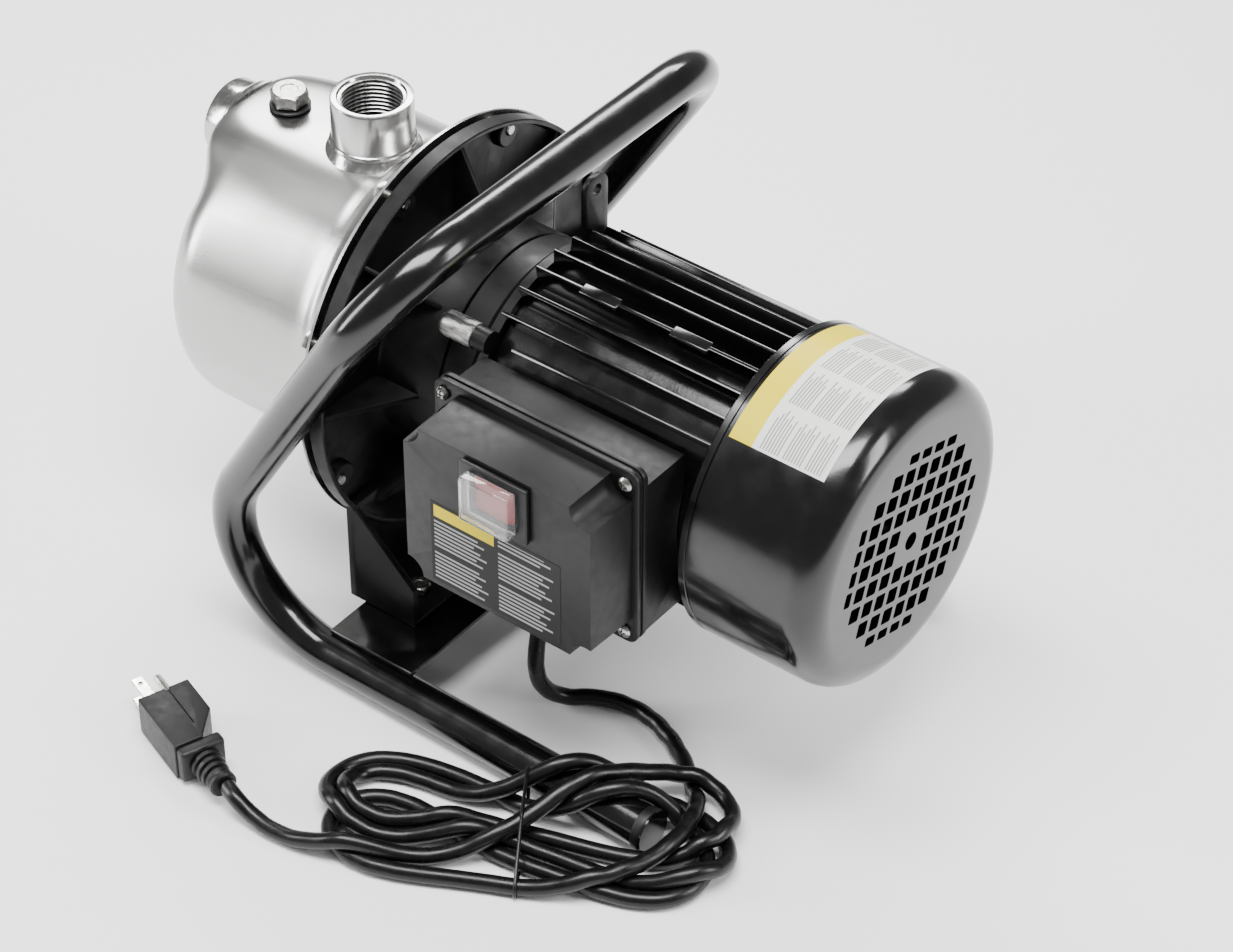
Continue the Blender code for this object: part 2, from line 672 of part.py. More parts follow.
def fan_cover():
    edge = 15.6
    wall = 1.8
    outside = [(0, COVER_FACE), (COVER_R - edge, COVER_FACE)]
    inside = []
    for i in range(1, 5):
        bend = math.radians(90 * i / 4)
        outside.append((COVER_R - edge * (1 - math.sin(bend)), COVER_FACE - edge * (1 - math.cos(bend))))
        bend = math.radians(90 * (4 - i) / 4)
        inner = edge - wall
        inside.append((COVER_R - edge + inner * math.sin(bend), COVER_FACE - edge + inner * math.cos(bend)))
    outside.append((COVER_R, COVER_RIM))
    inside.insert(0, (COVER_R - wall, COVER_FACE - edge))
    inside.insert(0, (COVER_R - wall, COVER_RIM))
    inside.append((0, COVER_FACE - wall))
    cover = turned("fan_cover", GLOSS_BLACK, outside + inside, steps=40)
    turn = Euler((GRILLE_TURN, 0, 0))
    slots = [rod("centre_hole", None, 4.6, COVER_FACE - 5, COVER_FACE + 5, steps=16)]
    for y, z, width, height in grille_slots():
        low = (COVER_FACE - 5, -width / 2, -height / 2)
        slot = box("slot", None, low, (COVER_FACE + 5, width / 2, height / 2))
        slot.location = turn.to_matrix() @ Vector((COVER_FACE, y, z)) * MM
        slot.rotation_euler = turn
        slots.append(slot)
    cut(cover, *slots)


# Terminal box

def screw_holes(radius, low, high):
    return [rod("screw_hole", None, radius, low, high, "-y", (x, 0, z), steps=8) for x, z in BOX_SCREWS]


def terminal_box():
    flange = rounded_rectangle((57.5, -49.5), (178, 54), 6)
    base = box("terminal_box_base", BOX_PLASTIC, (60, -86, -44), (178, -58, 45))
    plate = slab("plate", None, [flange], -88, -85.5, "y")
    base = join(base, plate)
    saddle = rod("saddle", None, FIN_ROOT_R + 0.6, 50, 190, steps=48)
    pocket = box("pocket", None, (66.5, -92, -38.5), (166, -71, 42.5))
    gland_hole = rod("gland_hole", None, 7.0, -50, -36, "z", (108.5, -75.5, 0), steps=12)
    lead_hole = rod("lead_hole", None, 6, 60, 80, "-y", (120, 0, 0), steps=14)
    cut(base, saddle, pocket, gland_hole, lead_hole, *screw_holes(1.8, 80, 92))
    seal = [rounded_rectangle((58.5, -48.5), (177, 53), 5.5), rounded_rectangle((69.5, -36), (164, 40), 3)]
    gasket = slab("box_gasket", RUBBER, seal, -89.5, -88.3, "y")
    cut(gasket, *screw_holes(2.3, 80, 96))
    cover = slab("box_cover", BOX_PLASTIC, [flange], -92.3, -89.8, "y")
    body = box("body", None, (63.5, BOX_FACE, -42.3), (173.5, -91, 48), 1.2)
    scoops = [rod("scoop", None, 9.5, 88, 126, "-y", (x, 0, z), steps=20) for x, z in BOX_SCREWS]
    body = cut(body, *scoops)
    cover = join(cover, body)
    inside = box("inside", None, (74, BOX_FACE + 2.5, -32), (162, -88, 38), 2)
    window = box("window", None, (102.7, -126, 16.7), (135.3, -100, 43.3))
    cut(cover, inside, window, *screw_holes(2.3, 80, 96))
    shared = None
    for i, (x, z) in enumerate(BOX_SCREWS):
        name = "cover_screw_%d" % (i + 1)
        at = (x, -92.6, z)
        if shared is None:
            head = [(0, 2.4), (2.2, 2.4), (3.8, 1.2), (3.8, 0), (1.5, 0), (1.5, -10), (0, -10)]
            shared = turned(name, ZINC, head, "-y", at, steps=12).data
        else:
            add_piece(name, shared, ZINC, PUMP_AXIS, at, SIDEWAYS["-y"])
    rod("capacitor", CAPACITOR, 12.5, 78, 138, at=(0, -97, -17), steps=16)


def switch():
    frame = box("switch_frame", SWITCH_BLACK, (99.5, -125.2, 14), (139, -122.3, 46), 0.8)
    body = box("body", None, (103, -123, 17), (135, -108, 43))
    window = box("window", None, (107, -130, 19.4), (131.4, -100, 41.2))
    cut(join(frame, body), window)
    half = []
    for a in (100, 85, 70, 55, 44):
        half.append((-9.8 * math.cos(math.radians(a)), 9.8 * math.sin(math.radians(a))))
    outline = half + [(-4.4, 0.0)] + [(u, -v) for u, v in reversed(half)]
    rocker = slab("switch_rocker", SWITCH_RED, [outline], -11.4, 11.4, "x", SWITCH_AXIS)
    rocker.rotation_euler = (PLANES["x"].to_matrix()).to_euler()
    rocker.rotation_euler.rotate(Euler((math.radians(8), 0, 0)))
    cap = box("switch_cap", CLEAR_CAP, (104.5, -132.7, 17.4), (133.5, -125.5, 43), 1)
    cut(cap, box("cap_inside", None, (105.8, -131.4, 18.7), (132.2, -120, 41.7)))


# Cord

def cord():
    profile = [
        (6.7, -38), (6.7, -44.3), (8.6, -44.3), (8.6, -50), (6.6, -51.5), (6.0, -58), (4.6, -58), (4.6, -38),
    ]
    turned("cord_gland", RUBBER, profile, "z", (108.5, -75.5, 0), steps=16)
    swept("cord_drop", RUBBER, smooth_route(DROP_ROUTE, 2.4 * CORD_R * 2), CORD_R, 2)
    swept("cord_lead", RUBBER, smooth_route(LEAD_ROUTE, 2.4 * CORD_R * 2), CORD_R, 2)
    (x0, y0), (x1, y1) = HANK_ENDS
    lean = math.atan2(y1 - y0, x1 - x0)
    outline = []
    for x, y, start in ((x1, y1, -90), (x0, y0, 90)):
        for i in range(7):
            angle = lean + math.radians(start + 180 * i / 6)
            outline.append((x + HANK_R * math.cos(angle), y + HANK_R * math.sin(angle)))
    hank = slab("cord_hank", RUBBER, [outline], FLOOR + 0.5, FLOOR + 42, "z")
    edge = hank.modifiers.new("edges", "BEVEL")
    edge.width = 9 * MM
    edge.segments = 2
    edge.limit_method = "ANGLE"
    edge.angle_limit = math.radians(50)
    hank = bake(hank)
    channel = box("rail_channel", None, (0, -RAIL_Y - 13, FLOOR - 5), (RAIL_END + 6, -RAIL_Y + 13, FLOOR + 24))
    cut(hank, channel)


def plug():
    outline = [
        (0, -12.5), (0, 0.5), (2.5, 2), (0, 3.5), (0, 11.5), (2.5, 14), (24, 14), (33, 7.5), (40, 7.5),
        (40, -11.5), (36, -13.5), (2, -14),
    ]
    body = slab("plug_body", RUBBER, [outline], -11, 11, "z", PLUG_AXIS)
    edge = body.modifiers.new("edges", "BEVEL")
    edge.width = 1.6 * MM
    edge.segments = 2
    edge.limit_method = "ANGLE"
    edge.angle_limit = math.radians(50)
    body = bake(body)
    collar = box("collar", None, (39, -13, -9.5), (46.5, 10.5, 9.5), 1.5, PLUG_AXIS)
    sleeve = [(0, 66), (7.0, 66), (7.0, 63), (6.4, 62), (9.2, 45), (0, 45)]
    sleeve = turned("sleeve", None, sleeve, parent=PLUG_AXIS, steps=14)
    join(body, collar, sleeve)
    for name, side in (("blade_left", 1), ("blade_right", -1)):
        z = side * 6.35
        blade = box(name, BLADE, (-17.5, -9.2, z - 0.75), (-GAP, -2.8, z + 0.75), 0.5, PLUG_AXIS)
        cut(blade, rod("blade_hole", None, 1.6, z - 4, z + 4, "z", (-12.5, -6, 0), PLUG_AXIS, 8))
    pin = [(0, -GAP), (2.4, -GAP), (2.4, -18.4), (1.5, -20.2), (0, -20.6)]
    turned("ground_pin", BLADE, pin, at=(0, 5.9, 0), parent=PLUG_AXIS, steps=12)


stand()
bracket()
casing_bolts()
pump_casing()
ports()
plugs()
pump_inside()
rotor()
end_shields()
motor_housing()
cooling_fan()
fan_cover()
terminal_box()
switch()
cord()
plug()
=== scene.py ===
"""Shallow well jet pump: the finished look of every piece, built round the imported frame.

Places are given in millimetres from the motor axis at the rear face of the bracket: x runs along the
shaft towards the fan, -y is the terminal box side and z is up. put() turns them into the frame's metres.
"""
import math

import bmesh
import bpy
import numpy as np
from mathutils import Matrix, Vector


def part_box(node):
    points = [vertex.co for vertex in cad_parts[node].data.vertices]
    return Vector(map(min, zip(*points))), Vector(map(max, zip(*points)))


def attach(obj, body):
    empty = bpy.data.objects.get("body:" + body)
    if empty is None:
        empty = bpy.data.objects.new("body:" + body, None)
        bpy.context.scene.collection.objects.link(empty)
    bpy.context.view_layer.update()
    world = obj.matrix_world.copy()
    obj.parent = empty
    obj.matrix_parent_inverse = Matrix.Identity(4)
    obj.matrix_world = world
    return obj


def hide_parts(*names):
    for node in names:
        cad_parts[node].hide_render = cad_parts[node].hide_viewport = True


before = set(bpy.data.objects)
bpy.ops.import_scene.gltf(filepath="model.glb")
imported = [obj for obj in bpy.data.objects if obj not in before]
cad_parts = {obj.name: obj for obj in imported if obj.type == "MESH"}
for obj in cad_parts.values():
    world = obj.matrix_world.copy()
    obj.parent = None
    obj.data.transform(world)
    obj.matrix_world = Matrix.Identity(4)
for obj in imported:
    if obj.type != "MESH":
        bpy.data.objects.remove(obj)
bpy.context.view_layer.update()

MM = 0.001
low_cover, high_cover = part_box("fan_cover")
MOTOR_Z = (low_cover[2] + high_cover[2]) / 2
BRACKET_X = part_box("motor_bracket")[0][0] + 9.2 * MM
FLOOR = -MOTOR_Z / MM

COVER_R = (high_cover[2] - low_cover[2]) / 2 / MM
COVER_FACE = (high_cover[0] - BRACKET_X) / MM
COVER_RIM = (low_cover[0] - BRACKET_X) / MM
TUBE_R = 11.0
RAIL_Y = 116.5
RAIL_END = (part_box("stand_tube")[1][0] - BRACKET_X) / MM
CORD_R = 4.25
CASING_FRONT = -129.5
CASING_FLAT = 84.0
SUCTION_Z = 61.0
DISCHARGE_X = -56.3
BOLT_CIRCLE = 102.5
FILL_X = -111
DRAIN_Z = -54
BOX_SCREWS = [(63.6, 46.5), (170.7, 46.5), (170.7, -42.5), (63.6, -42.5)]
LABEL_YELLOW = (0.6, 0.48, 0.0)
LABEL_ROUGHNESS = 0.42
LABEL_GLOSS = 0.2


def put(x, y, z):
    return Vector((x * MM + BRACKET_X, y * MM, z * MM + MOTOR_Z))


# Camera and light

def camera_and_light():
    data = bpy.data.cameras.new("view")
    data.lens = 106.1
    data.sensor_width = 36
    data.shift_x = 0.0203
    data.shift_y = -0.0031
    camera = bpy.data.objects.new("view", data)
    bpy.context.scene.collection.objects.link(camera)
    camera.location = (0.87285, -1.0879, 1.2472)
    camera.rotation_euler = (math.radians(50.05), 0, math.radians(38.03))
    bpy.context.scene.camera = camera
    world = bpy.data.worlds.new("studio")
    bpy.context.scene.world = world
    world.use_nodes = True
    world.node_tree.nodes["Background"].inputs["Color"].default_value = (1, 1, 1, 1)
    world.node_tree.nodes["Background"].inputs["Strength"].default_value = 0.3
    lamps = [
        ("key", (0.1, -0.35, 1.5), (1.3, 0.5), 48),
        ("rear", (-0.7, 1.0, 1.2), (1.4, 0.35), 36),
        ("side", (-1.2, -1.0, 0.7), (0.35, 1.1), 22),
        ("fan_side", (1.4, 0.3, 0.8), (0.35, 0.9), 16),
    ]
    for name, place, size, power in lamps:
        light = bpy.data.lights.new(name, "AREA")
        light.shape = "RECTANGLE"
        light.size, light.size_y = size
        light.energy = power
        lamp = bpy.data.objects.new(name, light)
        bpy.context.scene.collection.objects.link(lamp)
        lamp.location = place
        lamp.rotation_euler = (Vector((0, 0, 0.12)) - lamp.location).to_track_quat("-Z", "Y").to_euler()
    bpy.ops.mesh.primitive_plane_add(size=12, location=(0, 0, -0.0003))
    floor = bpy.context.object
    floor.name = "studio_floor"
    mat = new_material("floor_paper", (0.9, 0.9, 0.9), 0.9)
    floor.data.materials.append(mat)


# Materials

def new_material(name, colour, roughness, metallic=0.0, **settings):
    mat = bpy.data.materials.new(name)
    mat.use_nodes = True
    shader = mat.node_tree.nodes["Principled BSDF"]
    shader.inputs["Base Color"].default_value = (*colour, 1)
    shader.inputs["Roughness"].default_value = roughness
    shader.inputs["Metallic"].default_value = metallic
    for socket, value in settings.items():
        shader.inputs[socket.replace("_", " ")].default_value = value
    return mat


def add_node(mat, kind, **values):
    node = mat.node_tree.nodes.new(kind)
    for key, value in values.items():
        if key in node.inputs:
            node.inputs[key].default_value = value
        else:
            setattr(node, key, value)
    return node


def wire(mat, source, target):
    mat.node_tree.links.new(source, target)


def noise(mat, scale, detail=4.0, stretch=(1, 1, 1), rough=0.5):
    """Noise on Object coordinates, stretched along the axes that have small factors."""
    place = add_node(mat, "ShaderNodeTexCoord")
    mapping = add_node(mat, "ShaderNodeMapping", Scale=stretch)
    pattern = add_node(mat, "ShaderNodeTexNoise", Scale=scale, Detail=detail, Roughness=rough)
    wire(mat, place.outputs["Object"], mapping.inputs["Vector"])
    wire(mat, mapping.outputs["Vector"], pattern.inputs["Vector"])
    return pattern.outputs["Fac"]


def spread(mat, source, low, high, start=0.3, end=0.7):
    """Map a pattern to a range of plain values."""
    node = add_node(mat, "ShaderNodeMapRange")
    node.inputs["From Min"].default_value = start
    node.inputs["From Max"].default_value = end
    node.inputs["To Min"].default_value = low
    node.inputs["To Max"].default_value = high
    wire(mat, source, node.inputs["Value"])
    return node.outputs["Result"]


def tint(mat, source, dark, light, start=0.3, end=0.7):
    """Colour the surface between two shades by a pattern."""
    ramp = add_node(mat, "ShaderNodeValToRGB")
    ramp.color_ramp.elements[0].position = start
    ramp.color_ramp.elements[0].color = (*dark, 1)
    ramp.color_ramp.elements[1].position = end
    ramp.color_ramp.elements[1].color = (*light, 1)
    wire(mat, source, ramp.inputs["Fac"])
    wire(mat, ramp.outputs["Color"], mat.node_tree.nodes["Principled BSDF"].inputs["Base Color"])
    return ramp


def roughen(mat, source, low, high):
    wire(mat, spread(mat, source, low, high), mat.node_tree.nodes["Principled BSDF"].inputs["Roughness"])


def emboss(mat, source, strength, depth):
    bump = add_node(mat, "ShaderNodeBump", Strength=strength, Distance=depth)
    wire(mat, source, bump.inputs["Height"])
    wire(mat, bump.outputs["Normal"], mat.node_tree.nodes["Principled BSDF"].inputs["Normal"])
    return bump


def polished_stainless():
    mat = new_material("polished_stainless", (0.74, 0.73, 0.71), 0.16, 1.0)
    tint(mat, noise(mat, 9, 3), (0.42, 0.418, 0.41), (0.5, 0.497, 0.49))
    roughen(mat, noise(mat, 60, 5, (0.15, 1, 1)), 0.24, 0.34)
    emboss(mat, noise(mat, 900, 2, (0.05, 1, 1)), 0.04, 0.0002)
    return mat


def turned_steel():
    mat = new_material("turned_stainless", (0.7, 0.69, 0.68), 0.18, 1.0)
    tint(mat, noise(mat, 30, 3), (0.42, 0.418, 0.41), (0.54, 0.537, 0.53))
    roughen(mat, noise(mat, 500, 3, (1, 1, 0.05)), 0.12, 0.26)
    emboss(mat, noise(mat, 2500, 1, (0.03, 0.03, 1)), 0.05, 0.0001)
    return mat


def gloss_paint(name="gloss_black", grain=0.05):
    mat = new_material(name, (0.002, 0.002, 0.002), 0.18, Coat_Weight=0.2, Coat_Roughness=0.08)
    tint(mat, noise(mat, 14, 3), (0.0015, 0.0015, 0.0015), (0.0025, 0.0025, 0.0025))
    roughen(mat, noise(mat, 90, 5), 0.14, 0.24)
    emboss(mat, noise(mat, 700, 2), grain, 0.0003)
    return mat


def cast_black():
    mat = new_material("cast_black", (0.003, 0.003, 0.003), 0.4, Specular_IOR_Level=0.22)
    tint(mat, noise(mat, 40, 4), (0.0015, 0.0015, 0.0015), (0.004, 0.004, 0.004))
    roughen(mat, noise(mat, 120, 5), 0.32, 0.5)
    emboss(mat, noise(mat, 1100, 4), 0.18, 0.0004)
    return mat


def bare_casting():
    """Rough machined face with the paint worn off in streaks."""
    mat = new_material("bare_casting", (0.5, 0.49, 0.47), 0.35, 1.0)
    tint(mat, noise(mat, 260, 6, (0.25, 1, 1)), (0.06, 0.06, 0.06), (0.62, 0.61, 0.59), 0.36, 0.6)
    roughen(mat, noise(mat, 500, 4), 0.3, 0.5)
    emboss(mat, noise(mat, 1500, 3), 0.3, 0.0004)
    return mat


def moulded_plastic(name="box_plastic", shade=0.0045, rough=0.42, grain=0.2):
    mat = new_material(name, (shade, shade, shade * 1.04), rough, Specular_IOR_Level=0.3)
    tint(mat, noise(mat, 25, 3), (shade * 0.85,) * 3, (shade * 1.2,) * 3)
    roughen(mat, noise(mat, 200, 4), rough - 0.05, rough + 0.06)
    emboss(mat, noise(mat, 2600, 2), grain, 0.0002)
    return mat


def zinc_plate():
    mat = new_material("zinc_plate", (0.62, 0.61, 0.58), 0.26, 1.0)
    tint(mat, noise(mat, 180, 4), (0.3, 0.295, 0.28), (0.5, 0.49, 0.47))
    roughen(mat, noise(mat, 400, 4), 0.2, 0.36)
    emboss(mat, noise(mat, 1500, 2), 0.08, 0.0002)
    return mat


def cord_rubber(name="cord_jacket", rough=0.3, grain=0.06):
    mat = new_material(name, (0.004, 0.004, 0.004), rough, Specular_IOR_Level=0.35)
    tint(mat, noise(mat, 50, 3), (0.002, 0.002, 0.002), (0.004, 0.004, 0.004))
    roughen(mat, noise(mat, 260, 4), rough - 0.05, rough + 0.08)
    emboss(mat, noise(mat, 1800, 2), grain, 0.0002)
    return mat


def red_plastic():
    mat = new_material("switch_red", (0.42, 0.001, 0.002), 0.28)
    tint(mat, noise(mat, 80, 3), (0.36, 0.001, 0.001), (0.44, 0.002, 0.003))
    emboss(mat, noise(mat, 1500, 2), 0.05, 0.0001)
    return mat


def clear_plastic():
    mat = new_material("clear_cap", (0.95, 0.96, 0.96), 0.03, Transmission_Weight=0.93, IOR=1.45)
    roughen(mat, noise(mat, 120, 3), 0.02, 0.05)
    return mat


def plain_metal(name, dark, light, rough, scale=150, metallic=1.0):
    mat = new_material(name, light, rough, metallic)
    tint(mat, noise(mat, scale, 4), dark, light)
    roughen(mat, noise(mat, scale * 2, 4), rough - 0.05, rough + 0.1)
    emboss(mat, noise(mat, scale * 8, 2), 0.08, 0.0002)
    return mat


def printed_label(name, paper, ink, rows, columns, band=None, band_share=0.0):
    """Plain bars on paper, by the piece's own UV map: u runs along the rows, v across them."""
    mat = new_material(name, paper, LABEL_ROUGHNESS, Specular_IOR_Level=LABEL_GLOSS)
    coords = add_node(mat, "ShaderNodeUVMap")
    split = add_node(mat, "ShaderNodeSeparateXYZ")
    wire(mat, coords.outputs["UV"], split.inputs["Vector"])

    def work(operation, first, second=0.0):
        node = add_node(mat, "ShaderNodeMath", operation=operation)
        for socket, value in zip(node.inputs, (first, second)):
            if isinstance(value, float):
                socket.default_value = value
            else:
                wire(mat, value, socket)
        return node.outputs[0]

    def blend(share, first, second):
        node = add_node(mat, "ShaderNodeMix", data_type="RGBA")
        wire(mat, share, node.inputs["Factor"])
        for socket, value in zip((node.inputs[6], node.inputs[7]), (first, second)):
            if isinstance(value, tuple):
                socket.default_value = (*value, 1)
            else:
                wire(mat, value, socket)
        return node.outputs[2]

    along, across = split.outputs["X"], split.outputs["Y"]
    row = work("MULTIPLY", across, float(rows))
    number = work("FLOOR", row)
    column = work("MULTIPLY", along, float(columns))
    bar = work("LESS_THAN", work("FRACT", row), 0.46)
    ragged = work("FRACT", work("MULTIPLY", work("ADD", number, work("FLOOR", column)), 0.618))
    length = work("ADD", work("MULTIPLY", ragged, 0.26), 0.66)
    word = work("MULTIPLY", work("LESS_THAN", work("FRACT", column), length),
                work("GREATER_THAN", work("FRACT", column), 0.05))
    skipped = work("GREATER_THAN", work("FRACT", work("MULTIPLY", number, 0.125)), 0.12)
    margin = work("MULTIPLY", work("GREATER_THAN", across, 0.04),
                  work("LESS_THAN", across, 0.96 - band_share))
    mask = work("MULTIPLY", work("MULTIPLY", bar, word), work("MULTIPLY", skipped, margin))
    colour = blend(mask, paper, ink)
    if band:
        colour = blend(work("GREATER_THAN", across, 1.0 - band_share), colour, band)
    wire(mat, colour, mat.node_tree.nodes["Principled BSDF"].inputs["Base Color"])
    return mat


# Modelling helpers

def clear_selection():
    bpy.ops.object.select_all(action="DESELECT")


def choose(ob):
    clear_selection()
    ob.select_set(True)
    bpy.context.view_layer.objects.active = ob


def settle(ob, name, mat, body="pump", angle=30):
    """Name a finished piece, put its place in its mesh, shade it and let it ride on its body."""
    choose(ob)
    bpy.ops.object.transform_apply(location=True, rotation=True, scale=True)
    bpy.ops.object.shade_smooth_by_angle(angle=math.radians(angle))
    ob.name = name
    ob.data.name = name
    ob.data.materials.clear()
    ob.data.materials.append(mat)
    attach(ob, body)
    return ob


def apply_modifier(ob, kind, **settings):
    choose(ob)
    step = ob.modifiers.new(kind.lower(), kind)
    for key, value in settings.items():
        setattr(step, key, value)
    bpy.ops.object.modifier_apply(modifier=step.name)
    return ob


def soften(ob, width, segments=2, angle=30):
    return apply_modifier(ob, "BEVEL", width=width * MM, segments=segments, limit_method="ANGLE",
                          angle_limit=math.radians(angle), use_clamp_overlap=True)


def boolean(ob, tools, operation):
    for tool in tools:
        apply_modifier(ob, "BOOLEAN", object=tool, operation=operation, solver="EXACT")
        bpy.data.objects.remove(tool, do_unlink=True)
    return ob


def carve(ob, *tools):
    return boolean(ob, tools, "DIFFERENCE")


def fuse(ob, *tools):
    return boolean(ob, tools, "UNION")


def block(low, high, bevel=0.0, segments=3, turn=None):
    """Box between two corners; turn rolls it about the motor axis, in degrees."""
    clear_selection()
    low, high = put(*low), put(*high)
    bpy.ops.mesh.primitive_cube_add(size=1, location=(low + high) / 2)
    ob = bpy.context.object
    ob.scale = high - low
    bpy.ops.object.transform_apply(location=True, rotation=True, scale=True)
    if bevel:
        bpy.ops.object.mode_set(mode="EDIT")
        bpy.ops.mesh.select_all(action="SELECT")
        bpy.ops.mesh.bevel(offset=bevel * MM, segments=segments, affect="EDGES")
        bpy.ops.object.mode_set(mode="OBJECT")
    if turn is not None:
        roll(ob, turn)
    return ob


def roll(ob, degrees):
    """Turn a piece about the motor axis; positive lifts the box side over the top."""
    centre = put(0, 0, 0)
    ob.data.transform(Matrix.Translation(centre) @ Matrix.Rotation(math.radians(-degrees), 4, "X")
                      @ Matrix.Translation(-centre))


AXES = {"x": Vector((1, 0, 0)), "z": Vector((0, 0, 1)), "y": Vector((0, 1, 0))}
ACROSS = {"x": Vector((0, 0, 1)), "z": Vector((1, 0, 0)), "y": Vector((1, 0, 0))}


def spun(profile, centre=(0, 0, 0), axis="x", steps=96, closed=True):
    """Extrude a point along an outline of (distance along the axis, radius) and spin it round."""
    clear_selection()
    origin = put(*centre)
    along, across = AXES[axis], ACROSS[axis]
    points = [origin + (along * a + across * r) * MM for a, r in profile]
    bpy.ops.mesh.primitive_plane_add(size=MM, location=points[0])
    ob = bpy.context.object
    bpy.ops.object.transform_apply(location=True, rotation=True, scale=True)
    bpy.ops.object.mode_set(mode="EDIT")
    bpy.ops.mesh.select_all(action="SELECT")
    bpy.ops.mesh.merge(type="CENTER")
    for before, after in zip(points, points[1:]):
        bpy.ops.mesh.extrude_region_move(TRANSFORM_OT_translate={"value": after - before})
    if closed and profile[0][1] > 0:
        shape = bmesh.from_edit_mesh(ob.data)
        shape.verts.ensure_lookup_table()
        for vert in shape.verts:
            vert.select = False
        ends = [v for v in shape.verts if len(v.link_edges) == 1]
        for vert in ends:
            vert.select = True
        shape.select_flush_mode()
        bpy.ops.mesh.edge_face_add()
    bpy.ops.mesh.select_all(action="SELECT")
    bpy.ops.mesh.spin(steps=steps, angle=math.tau, center=origin, axis=along)
    bpy.ops.mesh.select_all(action="SELECT")
    bpy.ops.mesh.remove_doubles(threshold=0.000003)
    bpy.ops.mesh.normals_make_consistent(inside=False)
    bpy.ops.object.mode_set(mode="OBJECT")
    return ob


def drum(radius, low, high, centre=(0, 0, 0), axis="x", steps=48):
    return spun([(high, 0), (high, radius), (low, radius), (low, 0)], centre, axis, steps)


def arc(centre, radius, start, end, steps):
    """Points (along, radius) on an arc, angles in degrees from the axis direction."""
    return [(centre[0] + radius * math.cos(math.radians(start + (end - start) * i / steps)),
             centre[1] + radius * math.sin(math.radians(start + (end - start) * i / steps)))
            for i in range(steps + 1)]


def smoothstep(low, high, value):
    t = min(max((value - low) / (high - low), 0.0), 1.0)
    return t * t * (3 - 2 * t)


def around(angle, radius):
    return -radius * math.cos(math.radians(angle)), radius * math.sin(math.radians(angle))


def smooth_route(points, spacing):
    """Evenly spaced points along a Catmull-Rom curve through the given points."""
    per_span = 24
    points = [Vector(p) for p in points]
    ends = [points[0] * 2 - points[1]] + points + [points[-1] * 2 - points[-2]]
    dense = []
    for a, b, c, d in zip(ends, ends[1:], ends[2:], ends[3:]):
        for i in range(per_span):
            t = i / per_span
            dense.append((2 * b + (c - a) * t + (2 * a - 5 * b + 4 * c - d) * t ** 2
                          + (3 * b - a - 3 * c + d) * t ** 3) / 2)
    dense.append(points[-1])
    walked = [0.0]
    for before, after in zip(dense, dense[1:]):
        walked.append(walked[-1] + (after - before).length)
    count = round(walked[-1] / spacing)
    route = []
    j = 0
    for i in range(count + 1):
        target = walked[-1] * i / count
        while j < len(dense) - 2 and walked[j + 1] < target:
            j += 1
        route.append(dense[j].lerp(dense[j + 1], (target - walked[j]) / (walked[j + 1] - walked[j])))
    return route


def tube(name, places, radius, resolution, cyclic=False, caps=True):
    """Round tube along places in the frame's metres, made a mesh."""
    curve = bpy.data.curves.new(name, "CURVE")
    curve.dimensions = "3D"
    curve.bevel_depth = radius * MM
    curve.bevel_resolution = resolution
    curve.use_fill_caps = caps
    spline = curve.splines.new("POLY")
    spline.points.add(len(places) - 1)
    spline.use_cyclic_u = cyclic
    for point, place in zip(spline.points, places):
        point.co = (*place, 1)
    ob = bpy.data.objects.new(name, curve)
    bpy.context.scene.collection.objects.link(ob)
    choose(ob)
    bpy.ops.object.convert(target="MESH")
    ob = bpy.context.object
    bpy.ops.object.mode_set(mode="EDIT")
    bpy.ops.mesh.select_all(action="SELECT")
    bpy.ops.mesh.remove_doubles(threshold=0.000002)
    bpy.ops.mesh.normals_make_consistent(inside=False)
    bpy.ops.object.mode_set(mode="OBJECT")
    return ob


# Cord: straight down from the gland, a loop over the floor, a tied hank across the rail, and the lead
# to the plug. Heights are above the floor.

